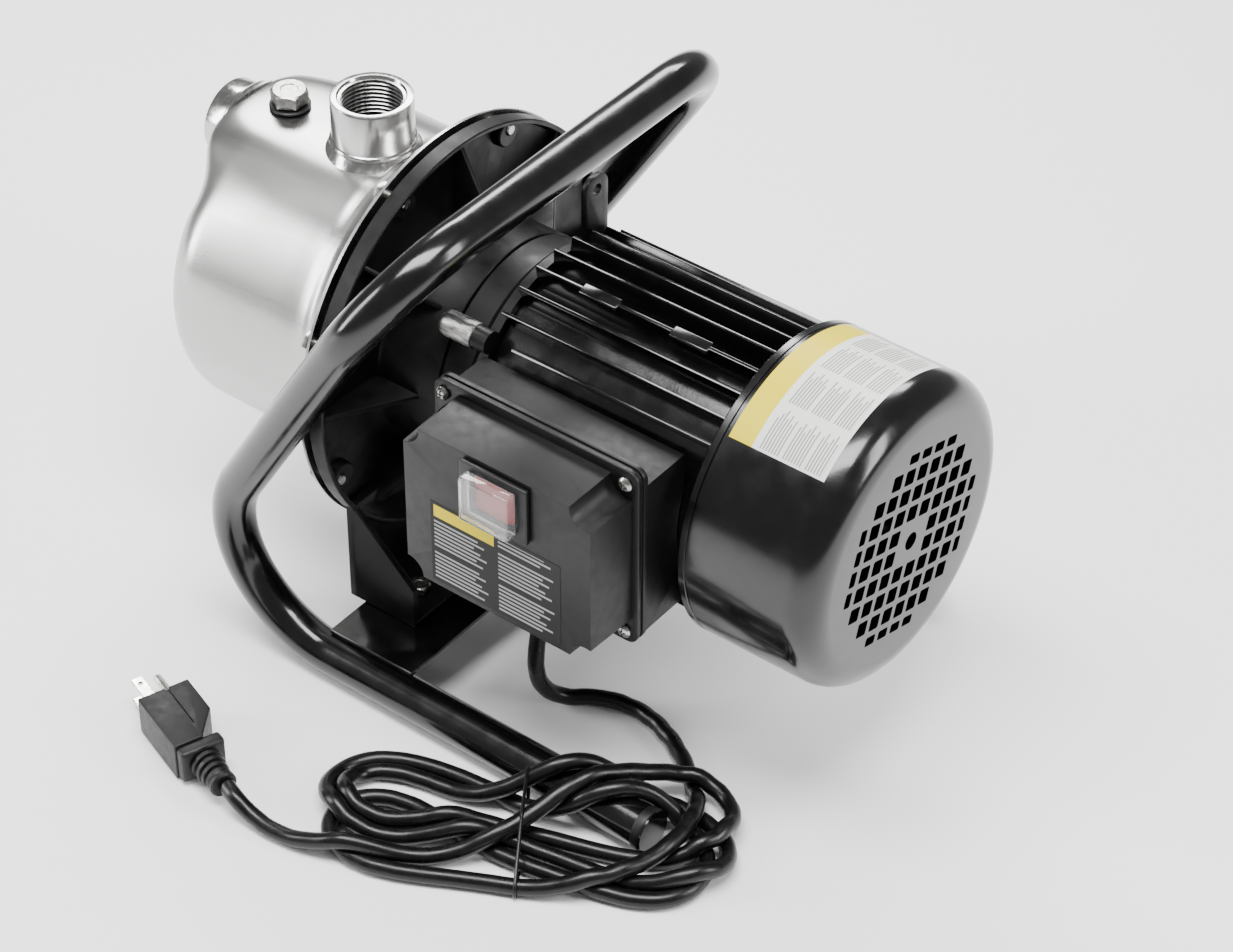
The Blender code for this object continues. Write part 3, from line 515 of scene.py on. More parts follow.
DROP = [
    (108.5, -75.5, 87.1), (108.4, -77.5, 60.5), (108.2, -82.0, 33.5), (108.2, -84.5, 18.5),
    (108.4, -80.0, 8.5), (109.2, -69.0, 4.9), (113.0, -57.0, 4.6), (122.0, -49.0, 4.6),
    (135.0, -45.5, 4.6), (151.0, -46.5, 4.6), (171.0, -55.0, 4.9), (187.0, -66.0, 8.5),
]
LEAD = [
    (100.0, -215.5, 9.0), (92.0, -220.5, 5.4), (84.0, -223.0, 4.6), (71.5, -222.5, 4.6),
    (59.0, -222.8, 4.8), (47.0, -223.2, 7.3), (36.0, -221.4, 10.6), (27.3, -218.4, 11.4),
]
HANK = [
    (203, -80, 20), (219, -97, 30), (229, -118, 33), (226, -138, 31), (213, -154, 25), (192, -165, 14),
    (168, -174, 6), (146, -188, 4.6), (122, -203, 4.6), (98, -211, 4.6), (78, -213, 4.6), (62, -207, 4.6),
    (57, -195, 4.6), (66, -184, 4.6), (86, -179, 5), (130, -170, 6), (162, -163, 6), (190, -164, 5),
    (217, -160, 4.6), (239, -150, 4.6), (250, -133, 4.6), (248, -114, 4.6), (236, -100, 6), (218, -95, 14),
    (200, -97, 24), (184, -108, 28), (168, -124, 27), (150, -139, 14), (127, -142, 5), (102, -146, 4.6),
    (75, -152, 4.6), (52, -165, 4.6), (45, -181, 4.6), (53, -196, 5), (74, -198, 9), (97, -188, 13),
    (124, -173, 14), (158, -157, 15), (187, -152, 15), (214, -145, 14), (238, -135, 13), (255, -120, 9),
    (257, -103, 5), (246, -90, 5), (227, -87, 12), (207, -88, 24), (189, -95, 34), (172, -111, 38),
    (157, -128, 34), (146, -143, 22), (126, -152, 14), (102, -158, 13), (78, -162, 13), (59, -168, 13),
    (50, -181, 13), (58, -195, 15), (80, -196, 19), (108, -178, 21), (138, -157, 22), (160, -146, 26),
    (182, -136, 34), (203, -124, 38), (224, -112, 28), (241, -101, 18), (243, -88, 13), (233, -76, 10),
    (216, -71, 14), (200, -77, 30), (187, -92, 44), (175, -112, 48), (166, -132, 44), (158, -150, 34),
    (147, -170, 26), (130, -188, 18), (113, -204, 9),
]
TIE = (158.0, -155.0)
TIE_HALF = 22.0
TIE_R = 0.9
TIE_LEAN = math.atan2(-34, 22)


def lie_down(route, spacing=5.0, rounds=420, slack=0.9):
    """Let the cord settle: its length is kept, it keeps clear of itself, the floor and the near rail."""
    places = np.array([tuple(p) for p in smooth_route(route, spacing)])
    held = places.copy()
    count = len(places)
    gap = slack * np.linalg.norm(places[1:] - places[:-1], axis=1).mean()
    apart = np.abs(np.subtract.outer(np.arange(count), np.arange(count))) > 5
    clear = 2 * CORD_R + 0.2
    sink = 0.15
    furthest_push = 1.2
    off_rail = TUBE_R + CORD_R + 0.3
    rail = np.array([-RAIL_Y, TUBE_R])
    ways = np.array([0.35, 0.35, 1.0])
    for turn in range(rounds):
        places[:, 2] -= sink
        late = smoothstep(0.4, 0.9, turn / rounds)
        bends = ((1, 28.0, 0.35), (2, 30.0, 0.35), (4, 32.0, 0.35), (3, 900.0, 0.05 + 0.1 * late))
        for reach, limit, give in bends:
            middle = (places[2 * reach:] + places[:-2 * reach]) / 2
            sag = middle - places[reach:-reach]
            size = np.linalg.norm(sag, axis=1, keepdims=True)
            allowed = (reach * gap) ** 2 / (2 * limit)
            move = sag * np.clip(1 - allowed / np.maximum(size, 1e-6), 0, 1) * give
            places[reach:-reach] += move
            places[2 * reach:] -= move / 2
            places[:-2 * reach] -= move / 2
        between = places[:, None, :] - places[None, :, :]
        distance = np.linalg.norm(between, axis=2) + 1e-6
        push = np.where(apart & (distance < clear), (clear - distance) / distance, 0)
        shove = (between * push[:, :, None]).sum(axis=1) * 0.45 * ways
        places += np.clip(shove, -furthest_push, furthest_push)
        for start in (0, 1):
            step = places[start + 1::2] - places[start:-1:2]
            size = np.linalg.norm(step, axis=1, keepdims=True)
            fix = step * (1 - gap / size) / 2
            places[start:-1:2] += fix
            places[start + 1::2] -= fix
        out = places[:, 1:] - rail
        far = np.linalg.norm(out, axis=1)
        inside = (far < off_rail) & (places[:, 0] < RAIL_END + 2)
        places[inside, 1:] = rail + out[inside] * (off_rail / far[inside])[:, None]
        places[:, 2] = np.maximum(places[:, 2], CORD_R + 0.1)
        places[:4] = held[:4]
        places[-3:] = held[-3:]
    return [Vector(p) for p in places]


def cord(jacket):
    route = lie_down(DROP + HANK + LEAD)
    places = [put(p.x, p.y, FLOOR + p.z) for p in smooth_route(route, 3.2)]
    piece = tube("cord", places, CORD_R, 6)
    settle(piece, "cord", jacket, angle=60)
    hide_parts("cord_drop", "cord_hank", "cord_lead")
    tie = cord_tie(route, jacket)
    return piece, tie, places


def cord_tie(route, jacket):
    """A wire drawn round the strands where they cross the tie line, seen as a hull across the line."""
    across = Vector((math.cos(TIE_LEAN), math.sin(TIE_LEAN), 0))
    along = Vector((-across.y, across.x, 0))
    seats = []
    for before, after in zip(route, route[1:]):
        a = (before - Vector((*TIE, 0))).dot(along)
        b = (after - Vector((*TIE, 0))).dot(along)
        if a * b < 0:
            place = before.lerp(after, a / (a - b))
            seat = (place - Vector((*TIE, 0))).dot(across)
            if abs(seat) < TIE_HALF * 1.6:
                seats.append((seat, place.z))
    ring = []
    for i in range(72):
        way = Vector((math.cos(math.tau * i / 72), math.sin(math.tau * i / 72)))
        reach = max(Vector(s).dot(way) for s in seats) + CORD_R + TIE_R
        ring.append((way, reach))
    outline = []
    for (way, reach), (next_way, next_reach) in zip(ring, ring[1:] + ring[:1]):
        det = way.x * next_way.y - way.y * next_way.x
        outline.append(((reach * next_way.y - next_reach * way.y) / det,
                        (way.x * next_reach - next_way.x * reach) / det))
    places = []
    for seat, height in outline:
        spot = Vector((*TIE, 0)) + across * seat
        places.append(put(spot.x, spot.y, FLOOR + max(height, 0.95)))
    tie = tube("cord_tie", places, TIE_R, 3, cyclic=True, caps=False)
    return settle(tie, "cord_tie", jacket, angle=60)


# Stand

def rounded_route(points, radii, steps):
    points = [Vector(p) for p in points]
    route = [points[0]]
    for before, corner, after, radius in zip(points, points[1:], points[2:], radii):
        back = (before - corner).normalized()
        ahead = (after - corner).normalized()
        half = back.angle(ahead) / 2
        centre = corner + (back + ahead).normalized() * radius / math.sin(half)
        start = (corner + back * radius / math.tan(half) - centre).normalized()
        end = (corner + ahead * radius / math.tan(half) - centre).normalized()
        for i in range(steps + 1):
            route.append(centre + start.slerp(end, i / steps) * radius)
    route.append(points[-1])
    return route


def stand(paint, rubber, zinc):
    x, y, z = 63.0, 131.0, 125.5
    low = FLOOR + TUBE_R
    corners = [
        (RAIL_END, -RAIL_Y, low), (-101, -RAIL_Y, low), (x, -y, z),
        (x, y, z), (-101, RAIL_Y, low), (RAIL_END, RAIL_Y, low),
    ]
    places = [put(*p) for p in rounded_route(corners, (60, 52, 52, 60), 28)]
    piece = tube("stand_tube_skin", places, TUBE_R, 14)
    settle(piece, "carrying_stand", paint, angle=50)
    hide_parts("stand_tube")
    for side, word in ((-1, "near"), (1, "far")):
        cap = [(RAIL_END - 0.2, 0)] + arc((RAIL_END - 2.4, 9.2), 2.2, 0, 90, 5)[1:]
        cap += [(RAIL_END - 6, 11.15), (RAIL_END - 6, 0)]
        cap = spun(cap, (0, side * RAIL_Y, low), steps=48)
        settle(cap, "rail_cap_" + word, rubber)
    plate = block((3.2, -114.8, -123.1), (55.8, 114.8, -120.3), 0.7)
    for side in (-1, 1):
        carve(plate, drum(3.5, -130, -110, (23, side * 68.7, 0), "z", 24))
    settle(plate, "foot_plate_skin", paint)
    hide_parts("foot_plate")
    for number, side in ((1, -1), (2, 1)):
        screw = hex_bolt(10, 5, 3.0, 14, (23, side * 68.7, -115.6), "z", 1)
        settle(screw, "foot_screw_%d" % number, zinc)
        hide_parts("foot_bolt_%d" % number)


def hex_bolt(across_flats, head, shank_r, shank, seat, axis, way):
    """Hexagon head with turned chamfers and a shallow dish, on a plain shank. way is +1 or -1 on the axis."""
    dish = 0.5
    corner = across_flats / math.sqrt(3)
    turn = {"x": (0, math.radians(90), 0), "z": (0, 0, 0), "y": (math.radians(90), 0, 0)}[axis]
    clear_selection()
    middle = put(*seat) + AXES[axis] * way * (head / 2 + 0.4) * MM
    bpy.ops.mesh.primitive_cylinder_add(vertices=6, radius=corner * MM, depth=(head - 0.8) * MM,
                                        location=middle, rotation=turn)
    ob = bpy.context.object
    bpy.ops.object.transform_apply(location=True, rotation=True, scale=True)
    soften(ob, 0.25, 2)
    flat = across_flats / 2
    top = head - 0.15
    limit = [(0, 0), (0, flat * 0.97), (0.4, flat * 0.985), (0.9, corner * 1.02),
             (head - corner * 0.16, corner * 1.02), (top, flat * 0.96), (top, flat * 0.55),
             (top - dish, flat * 0.5), (top - dish, 0)]
    limit = spun([(way * a, r) for a, r in limit], seat, axis, 48)
    boolean(ob, [limit], "INTERSECT")
    stem = [(0.2, 0), (0.2, shank_r), (-shank + 0.8, shank_r), (-shank, shank_r - 0.7), (-shank, 0)]
    return fuse(ob, spun([(way * a, r) for a, r in stem], seat, axis, 24))


# Pump casing and its ports

def casing_shape(x, y, z):
    """Move a point of a plain turned shell to the pressed shape: flat on top, fuller in front of it."""
    angle = abs(math.atan2(y, z))
    r = math.hypot(y, z)
    top = 1 - smoothstep(math.radians(20), math.radians(50), angle)
    fullness = 10.5
    unshaped = -36
    if x > unshaped:
        return x, y, z
    outward = smoothstep(40, 84, r)
    neck = math.exp(-((math.degrees(angle) - 36) / 12) ** 2) * smoothstep(30, 66, r)
    r_new = r + 1.3 * top * outward - 1.6 * neck * smoothstep(-84, -128, x)
    front = smoothstep(-109.5, CASING_FRONT, x)
    full = top * smoothstep(14, 38, r)
    x_new = x - fullness * full * front + 3.0 * neck * front
    corner = max(0.0, 86.0 - r) * top * outward * smoothstep(-104, -126, x)
    r_new += 0.5 * corner * (1 - smoothstep(70, 60, r))
    y_new, z_new = y * r_new / max(r, 0.001), z * r_new / max(r, 0.001)
    ease = 2.2
    shoulder = CASING_FLAT - 2.5
    if z_new > shoulder:
        z_new = shoulder + ease * (1 - math.exp(-(z_new - shoulder) / ease))
    return x_new, y_new, z_new


def casing(stainless):
    steps = [(-13.9, 108.9), (-13.9, 104.0), (-13.9, 99.0)]
    steps += [(-14.3, 97.4), (-15.6, 96.0), (-17.6, 94.6), (-20, 93.0), (-24, 90.2), (-28, 87.6), (-31, 86.3),
              (-33, 86.0), (-34.6, 86.1), (-36, 85.9), (-38, 85.6), (-42, 85.5)]
    steps += [(-x, 85.6) for x in range(48, 109, 6)]
    steps += [(CASING_FRONT + 20 - 20 * math.sin(math.radians(a)), 65.6 + 20 * math.cos(math.radians(a)))
              for a in range(6, 91, 7)]
    steps += [(CASING_FRONT, r) for r in (60, 54, 48, 42, 36, 30, 24, 18, 12, 6, 0)]
    shell = spun(steps, steps=168, closed=False)
    for vert in shell.data.vertices:
        x = (vert.co.x - BRACKET_X) / MM
        z = (vert.co.z - MOTOR_Z) / MM
        vert.co = put(*casing_shape(x, vert.co.y / MM, z))
    apply_modifier(shell, "SOLIDIFY", thickness=1.5 * MM, offset=-1)
    carve(shell, drum(17.7, -150, -124, (0, 0, SUCTION_Z)), drum(17.7, 60, 95, (DISCHARGE_X, 0, 0), "z"),
          drum(6.6, 70, 92, (FILL_X, 0, 0), "z", 32), drum(6.6, -140, -120, (0, 0, DRAIN_Z), "x", 32))
    settle(shell, "casing_skin", stainless, angle=40)
    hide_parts("pump_casing")


def threaded_mouth(face, depth, sign):
    """Inside of a port from its lip inwards: a lead-in chamfer and rounded pipe threads."""
    points = [(face, 17.4), (face - sign * 1.4, 16.7)]
    pitch = 2.31
    place = 1.6
    while place < depth:
        for part, radius in ((0.0, 15.4), (0.18, 15.4), (0.5, 16.6), (0.68, 16.6)):
            points.append((face - sign * (place + part * pitch), radius))
        place += pitch
    points.append((face - sign * (depth + 3), 15.5))
    return points


def ports(steel):
    face = -152.4
    outside = [(-136, 17.2), (-140.1, 17.2), (-140.1, 21.9), (-140.6, 21.9), (-141.4, 21.1), (-142.0, 20.7)]
    outside += [(face + 0.9, 20.6), (face + 0.25, 20.3), (face, 19.6)]
    inside = threaded_mouth(face, 13, -1)
    piece = spun(outside + inside, (0, 0, SUCTION_Z), steps=120)
    settle(piece, "suction_boss", steel, angle=28)
    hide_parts("suction_port")
    face = 113.2
    outside = [(82, 17.3), (83.0, 20.6), (86.2, 20.6), (87.2, 20.7), (87.5, 21.4), (88.0, 21.75),
               (89.4, 21.75), (90.0, 21.4), (90.4, 20.7), (face - 0.9, 20.6), (face - 0.25, 20.3),
               (face, 19.6)]
    piece = spun(outside + threaded_mouth(face, 22, 1), (DISCHARGE_X, 0, 0), "z", steps=120)
    settle(piece, "discharge_boss", steel, angle=28)
    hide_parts("discharge_port")
    skirt = [(87.1, 18.5), (87.1, 21.0), (86.4, 21.5), (85.2, 22.3), (83.6, 23.7), (81.6, 25.6), (79.4, 27.4),
             (76.5, 29.2), (73.0, 30.6), (73.0, 28.5), (78.0, 26.0), (82.0, 22.0), (84.5, 18.5)]
    skirt = spun(skirt, (DISCHARGE_X, 0, 0), "z", 120)
    settle(skirt, "discharge_neck", steel, angle=40)
    neck = [(-140.3, 18.0), (-140.3, 21.6), (-139.6, 22.4), (-138.2, 23.8), (-136.6, 24.6), (-136.6, 18.0)]
    neck = spun(neck, (0, 0, SUCTION_Z), steps=120)
    settle(neck, "suction_neck", steel, angle=40)


def fasteners(zinc, rubber):
    for i in range(8):
        y, z = around(22.5 + 45 * i, BOLT_CIRCLE)
        screw = hex_bolt(10, 4, 3.0, 13, (-14.3, y, z), "x", -1)
        settle(screw, "flange_screw_%d" % (i + 1), zinc)
        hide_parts("casing_bolt_%d" % (i + 1))
    plug = hex_bolt(17, 8, 6.2, 10, (FILL_X, 0, 86.35), "z", 1)
    settle(plug, "fill_plug_skin", zinc, "fill_plug")
    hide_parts("fill_plug")
    plug = hex_bolt(17, 8, 6.2, 10, (-131.85, 0, DRAIN_Z), "x", -1)
    settle(plug, "drain_plug_skin", zinc, "drain_plug")
    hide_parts("drain_plug")
    washers = (("fill_washer", (FILL_X, 0, 0), "z", 84.3, 1, "fill_lift"),
               ("drain_washer", (0, 0, DRAIN_Z), "x", -129.8, -1, "drain_lift"))
    for node, centre, axis, seat, way, body in washers:
        rim = [(seat, 6.9), (seat, 9.9), (seat + way * 0.4, 10.5), (seat + way * 1.3, 10.5),
               (seat + way * 1.7, 9.9), (seat + way * 1.7, 6.9)]
        ring = spun(rim, centre, axis, 48)
        settle(ring, node + "_skin", rubber, body)
        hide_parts(node)


# Bracket

def bracket(casting):
    outline = [(31.4, 55.0), (31.4, 60.6), (31.0, 61.0), (-2.6, 61.0), (-5.2, 62.2), (-6.6, 65.0),
               (-6.8, 70.0), (-6.8, 102.4), (-6.2, 104.0), (-4.8, 104.9), (-1.0, 105.4), (-0.3, 105.7),
               (0, 106.2), (0, 107.6), (-0.6, 108.1), (-8.6, 108.1), (-9.2, 107.6), (-9.2, 24.2),
               (3.9, 24.2), (4, 55.0)]
    body = spun(outline, steps=144)
    foot = -119.9
    extras = [block((-5.8, -89, foot), (-0.7, 89, -60), 0.8),
              block((-5, -88.6, foot + 0.05), (36.9, 88.6, -115.7), 1.2)]
    for side in (-1, 1):
        edge = side * 87.0
        web = block((-5.2, edge - 1.9, foot + 0.1), (36.7, edge + 1.9, -62), 0)
        slope = block((0, edge - 9, -97), (90, edge + 9, 40), 0)
        choose(slope)
        slope.data.transform(Matrix.Translation(put(0, 0, -62)) @ Matrix.Rotation(math.radians(43), 4, "Y")
                             @ Matrix.Translation(-put(0, 0, -97)))
        carve(web, slope)
        extras.append(soften(web, 0.7))
    for angle in (2, 47, 92, 137, 182, 227, 317):
        rib = rib_taper(block((-8.0, -1.3, 58), (22, 1.3, 106), 0))
        extras.append(soften(rib, 0.5))
        roll(rib, angle - 90)
    for i in range(8):
        y, z = around(22.5 + 45 * i, BOLT_CIRCLE - 2.5)
        boss = spun([(-2.4, 0), (-2.4, 6.4), (-3.2, 7.2), (-8, 7.6), (-8, 0)], (0, y, z), steps=32)
        extras.append(boss)
    fuse(body, *extras)
    holes = []
    for i in range(8):
        y, z = around(22.5 + 45 * i, BOLT_CIRCLE)
        holes.append(drum(3.4, -12, 4, (0, y, z), steps=24))
    for side in (-1, 1):
        holes.append(drum(3.5, -130, -110, (23, side * 68.7, 0), "z", 24))
    carve(body, *holes)
    settle(body, "bracket_skin", casting, angle=32)
    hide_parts("motor_bracket")


def rib_taper(rib):
    """Draw the outer end of a rib down to the web."""
    for vert in rib.data.vertices:
        if vert.co.x > put(0, 0, 0).x and vert.co.z > put(0, 0, 80).z:
            vert.co.x = put(-4.0, 0, 0).x
    return rib


def nose(casting, bare):
    outline = [(58.0, 66.7), (53.0, 66.7), (50.0, 64.0), (48.6, 61.8), (47.6, 61.0), (33.2, 61.0),
               (31.9, 60.0), (31.9, 12.2), (33.7, 12.2), (33.7, 20.4), (46.3, 20.4), (46.3, 26), (38, 26),
               (38, 55), (50, 55), (54, 62), (58.0, 62)]
    body = spun(outline, steps=128)
    y, z = around(43, 68.6)
    capsule = [(57.9, 0), (57.9, 5.9), (44, 6.1), (42, 6.5), (33, 6.5)]
    capsule += [(33 - 5.4 * math.sin(math.radians(a)), 6.5 * math.cos(math.radians(a)))
                for a in range(15, 76, 15)]
    capsule += [(27.6, 0)]
    boss = spun(capsule, (0, y, z), steps=40)
    web = block((35, -4.2, 56), (57.5, 4.2, 66), 0.8, turn=43 - 90)
    lug = block((54.6, 22.4, 46), (57.9, 39.6, 97.6), 0)
    choose(lug)
    bpy.ops.object.mode_set(mode="EDIT")
    shape = bmesh.from_edit_mesh(lug.data)
    for edge in shape.edges:
        middle = (edge.verts[0].co + edge.verts[1].co) / 2
        flat = abs(edge.verts[0].co.x - edge.verts[1].co.x) > 0.001
        edge.select = flat and middle.z > put(0, 0, 90).z
    bpy.ops.mesh.bevel(offset=7 * MM, segments=6, affect="EDGES")
    bpy.ops.object.mode_set(mode="OBJECT")
    soften(lug, 0.5)
    carve(lug, drum(3.2, 50, 62, (0, 31, 90), steps=32))
    fuse(body, boss, web, lug)
    settle(body, "nose_skin", casting, angle=32)
    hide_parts("front_end_shield")
    cap = [(49.5, 6.0), (49.2, 6.62), (40, 6.62)]
    cap += [(33 - 5.5 * math.sin(math.radians(a)), 6.62 * math.cos(math.radians(a)))
            for a in range(0, 91, 15)]
    cap = spun(cap, (0, y, z), steps=40, closed=False)
    apply_modifier(cap, "SOLIDIFY", thickness=0.2 * MM, offset=-1)
    settle(cap, "bare_boss_face", bare)


def motor(casting):
    """Finned housing: one fin is modelled, then copied round and joined to the barrel."""
    low, high = 58.4, 190.0
    places = 33
    first = 55.2
    box_half = 42
    behind_lug = (43, 46)
    barrel = spun([(low, 62.0), (low, 60.2), (high, 60.2), (high, 62.0)], steps=128)
    fins = []
    for i in range(places):
        angle = first + 360 / places * i
        from_box = abs(math.remainder(angle, 360))
        if from_box < box_half:
            continue
        near = 73.0 if behind_lug[0] < from_box < behind_lug[1] else low + 0.2
        fin = block((near, -1.5, 61), (high, 1.5, 74.9), 0)
        for vert in fin.data.vertices:
            if vert.co.z > put(0, 0, 70).z:
                vert.co.y *= 0.62
        soften(fin, 0.35)
        roll(fin, angle - 90)
        fins.append(fin)
    for start in (86, 139):
        pad = block((start, -3.4, 73.2), (start + 22, 3.4, 75.3), 0.9)
        roll(pad, 77.1 - 90)
        fins.append(pad)
    choose(barrel)
    for fin in fins:
        fin.select_set(True)
    bpy.ops.object.join()
    settle(bpy.context.object, "finned_barrel", casting, angle=32)
    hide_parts("motor_housing")


# Fan cover and its label

def grille_slots():
    pitch = 10.9
    rows = {5: 2, 4: 3, 3: 4, 2: 5, 1: 5}
    for row, columns in rows.items():
        for column in range(1, columns + 1):
            if row == 1 and column == 1:
                continue
            width = 5.0 if column == 5 else 8.0
            height = 5.0 if row == 5 else 8.0
            across = (column - 0.5) * pitch - (1.2 if column == 5 else 0)
            up = (row - 0.5) * pitch - (1.2 if row == 5 else 0)
            for sx in (-1, 1):
                for sz in (-1, 1):
                    yield sx * across, sz * up, width, height


def fan_cover(paint):
    edge = 15.6
    wall = 1.7
    outer = [(COVER_FACE, 0), (COVER_FACE, 30), (COVER_FACE, COVER_R - edge)]
    outer += arc((COVER_FACE - edge, COVER_R - edge), edge, 0, 90, 12)[1:]
    outer += [(COVER_RIM + 5.6, COVER_R), (COVER_RIM + 5.2, COVER_R - 0.7),
              (COVER_RIM + 4.2, COVER_R - 0.7), (COVER_RIM + 3.8, COVER_R), (COVER_RIM + 0.7, COVER_R),
              (COVER_RIM + 0.1, COVER_R - 0.5)]
    inner = [(COVER_RIM + 0.1, COVER_R - wall)]
    inner += arc((COVER_FACE - edge, COVER_R - edge), edge - wall, 90, 0, 12)
    inner += [(COVER_FACE - wall, 0)]
    cover = spun(outer + inner, steps=160)
    cutters = []
    for y, z, width, height in grille_slots():
        slot = block((COVER_FACE - 6, y - width / 2, z - height / 2),
                     (COVER_FACE + 6, y + width / 2, z + height / 2))
        choose(slot)
        bpy.ops.object.mode_set(mode="EDIT")
        shape = bmesh.from_edit_mesh(slot.data)
        for line in shape.edges:
            line.select = abs(line.verts[0].co.x - line.verts[1].co.x) > 0.001
        bpy.ops.mesh.bevel(offset=0.9 * MM, segments=2, affect="EDGES")
        bpy.ops.object.mode_set(mode="OBJECT")
        roll(slot, 17)
        cutters.append(slot)
    choose(cutters[0])
    for slot in cutters[1:]:
        slot.select_set(True)
    bpy.ops.object.join()
    carve(cover, bpy.context.object, drum(4.6, COVER_FACE - 6, COVER_FACE + 6, steps=40))
    settle(cover, "fan_cover_skin", paint, angle=30)
    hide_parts("fan_cover")


def wrapped_label(name, mat, x0, x1, start, end, lift):
    """A thin sheet bent round the fan cover between two angles, with u along the rows."""
    clear_selection()
    bpy.ops.mesh.primitive_grid_add(x_subdivisions=72, y_subdivisions=2, size=1)
    sheet = bpy.context.object
    for vert in sheet.data.vertices:
        angle = start + (end - start) * (vert.co.x + 0.5)
        y, z = around(angle, COVER_R + lift)
        vert.co = put(x1 + (x0 - x1) * (vert.co.y + 0.5), y, z)
    apply_modifier(sheet, "SOLIDIFY", thickness=0.08 * MM, offset=-1)
    settle(sheet, name, mat, angle=60)


def flat_label(name, mat, x0, x1, z0, z1, y):
    clear_selection()
    bpy.ops.mesh.primitive_grid_add(x_subdivisions=8, y_subdivisions=8, size=1)
    sheet = bpy.context.object
    for vert in sheet.data.vertices:
        vert.co = put(x0 + (x1 - x0) * (vert.co.x + 0.5), y, z0 + (z1 - z0) * (vert.co.y + 0.5))
    apply_modifier(sheet, "SOLIDIFY", thickness=0.1 * MM, offset=0)
    settle(sheet, name, mat, angle=60)


# Terminal box

def scooped(low_y, high_y, radius):
    return [drum(radius, low_y, high_y, (x, 0, z), "y", 48) for x, z in BOX_SCREWS]


def upright_corners(ob, radius, segments=5):
    """Round the four edges that run along y."""
    choose(ob)
    bpy.ops.object.mode_set(mode="EDIT")
    shape = bmesh.from_edit_mesh(ob.data)
    for edge in shape.edges:
        edge.select = abs(edge.verts[0].co.y - edge.verts[1].co.y) > 0.001
    bpy.ops.mesh.bevel(offset=radius * MM, segments=segments, affect="EDGES")
    bpy.ops.object.mode_set(mode="OBJECT")
    return ob


def terminal_box(plastic, rubber, zinc):
    base = block((60.2, -86, -43.8), (177.8, -58, 44.8))
    flange = upright_corners(block((57.7, -88, -49.3), (177.8, -85.4, 53.8)), 6)
    fuse(base, flange)
    carve(base, drum(62.6, 50, 190, steps=128), block((66.5, -92, -38.5), (166, -71, 42.5)))
    soften(base, 0.6, 2, 40)
    settle(base, "box_base_skin", plastic, angle=35)
    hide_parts("terminal_box_base")
    lid = block((63.6, -121.9, -42.2), (173.4, -91, 47.9))
    carve(lid, *scooped(-126, -88, 9.5))
    for vert in lid.data.vertices:
        share = (vert.co.y / MM + 91) / -31
        vert.co.x += (0.8 if vert.co.x > put(118, 0, 0).x else -0.8) * (1 - share) * MM
        vert.co.z += (0.8 if vert.co.z > MOTOR_Z else -0.8) * (1 - share) * MM
    soften(lid, 1.1, 3, 25)
    rim = upright_corners(block((57.7, -92.2, -49.3), (177.8, -89.9, 53.8)), 6)
    soften(rim, 0.5)
    fuse(lid, rim)
    carve(lid, block((74, -119.5, -32), (162, -88, 38)), block((102.7, -126, 16.7), (135.3, -100, 43.3)))
    settle(lid, "box_lid_skin", plastic, angle=32)
    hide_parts("box_cover")
    for i, (x, z) in enumerate(BOX_SCREWS):
        head = [(-92.5, 0), (-92.5, 3.7), (-93.4, 3.8), (-94.3, 3.0), (-94.9, 1.6), (-95.0, 0)]
        screw = spun(head, (x, 0, z), "y", 40)
        slots = [block((x - 2.2, -96, z - 0.45), (x + 2.2, -94.0, z + 0.45)),
                 block((x - 0.45, -96, z - 2.2), (x + 0.45, -94.0, z + 2.2))]
        carve(screw, *slots)
        fuse(screw, drum(1.5, -92.6, -84, (x, 0, z), "y", 20))
        settle(screw, "lid_screw_%d" % (i + 1), zinc)
        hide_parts("cover_screw_%d" % (i + 1))


def switch(black, red, clear):
    bezel = block((99.6, -125.1, 14.1), (138.9, -122.2, 45.9), 0.9)
    fuse(bezel, block((103.1, -122.6, 17.1), (134.9, -108.1, 42.9)))
    carve(bezel, block((107, -130, 19.4), (131.4, -100, 41.2)))
    settle(bezel, "switch_bezel", black)
    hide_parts("switch_frame")
    rocker = block((107.9, -124.6, 20.7), (130.5, -116.0, 39.9))
    choose(rocker)
    bpy.ops.object.mode_set(mode="EDIT")
    bpy.ops.mesh.select_all(action="SELECT")
    bpy.ops.mesh.bisect(plane_co=put(119, -118, 30.3), plane_no=(0, 0, 1))
    bpy.ops.object.mode_set(mode="OBJECT")
    pivot = put(119.2, -118, 30.3)
    for vert in rocker.data.vertices:
        if vert.co.y < -0.12 and abs(vert.co.z - pivot.z) < 0.001:
            vert.co.y += 2.0 * MM
        elif vert.co.y > -0.117:
            vert.co.z = pivot.z + (vert.co.z - pivot.z) * 0.9
    rocker.data.transform(Matrix.Translation(pivot) @ Matrix.Rotation(math.radians(8), 4, "X")
                          @ Matrix.Translation(-pivot))
    soften(rocker, 0.6, 3)
    settle(rocker, "rocker_skin", red, "switch_rocker")
    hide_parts("switch_rocker")
    cap = block((104.6, -132.6, 17.5), (133.4, -125.3, 42.9), 1.6, 4)
    carve(cap, block((105.8, -131.4, 18.7), (132.2, -120, 41.7), 0.8))
    settle(cap, "splash_cap", clear)
    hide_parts("switch_cap")


def gland(rubber):
    outline = [(-38, 4.7), (-38, 6.7), (-44.3, 6.7), (-44.4, 8.2), (-44.9, 8.6), (-49.5, 8.6), (-50.2, 8.0)]
    for i in range(4):
        z = -50.4 - 1.9 * i
        outline += [(z, 6.5 - 0.25 * i), (z - 1.1, 6.5 - 0.25 * i), (z - 1.3, 5.6), (z - 1.7, 5.6)]
    outline += [(-57.9, 5.4), (-57.9, 4.7)]
    sleeve = spun(outline, (108.5, -75.5, 0), "z", 48)
    settle(sleeve, "gland_skin", rubber)
    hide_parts("cord_gland")


# Plug

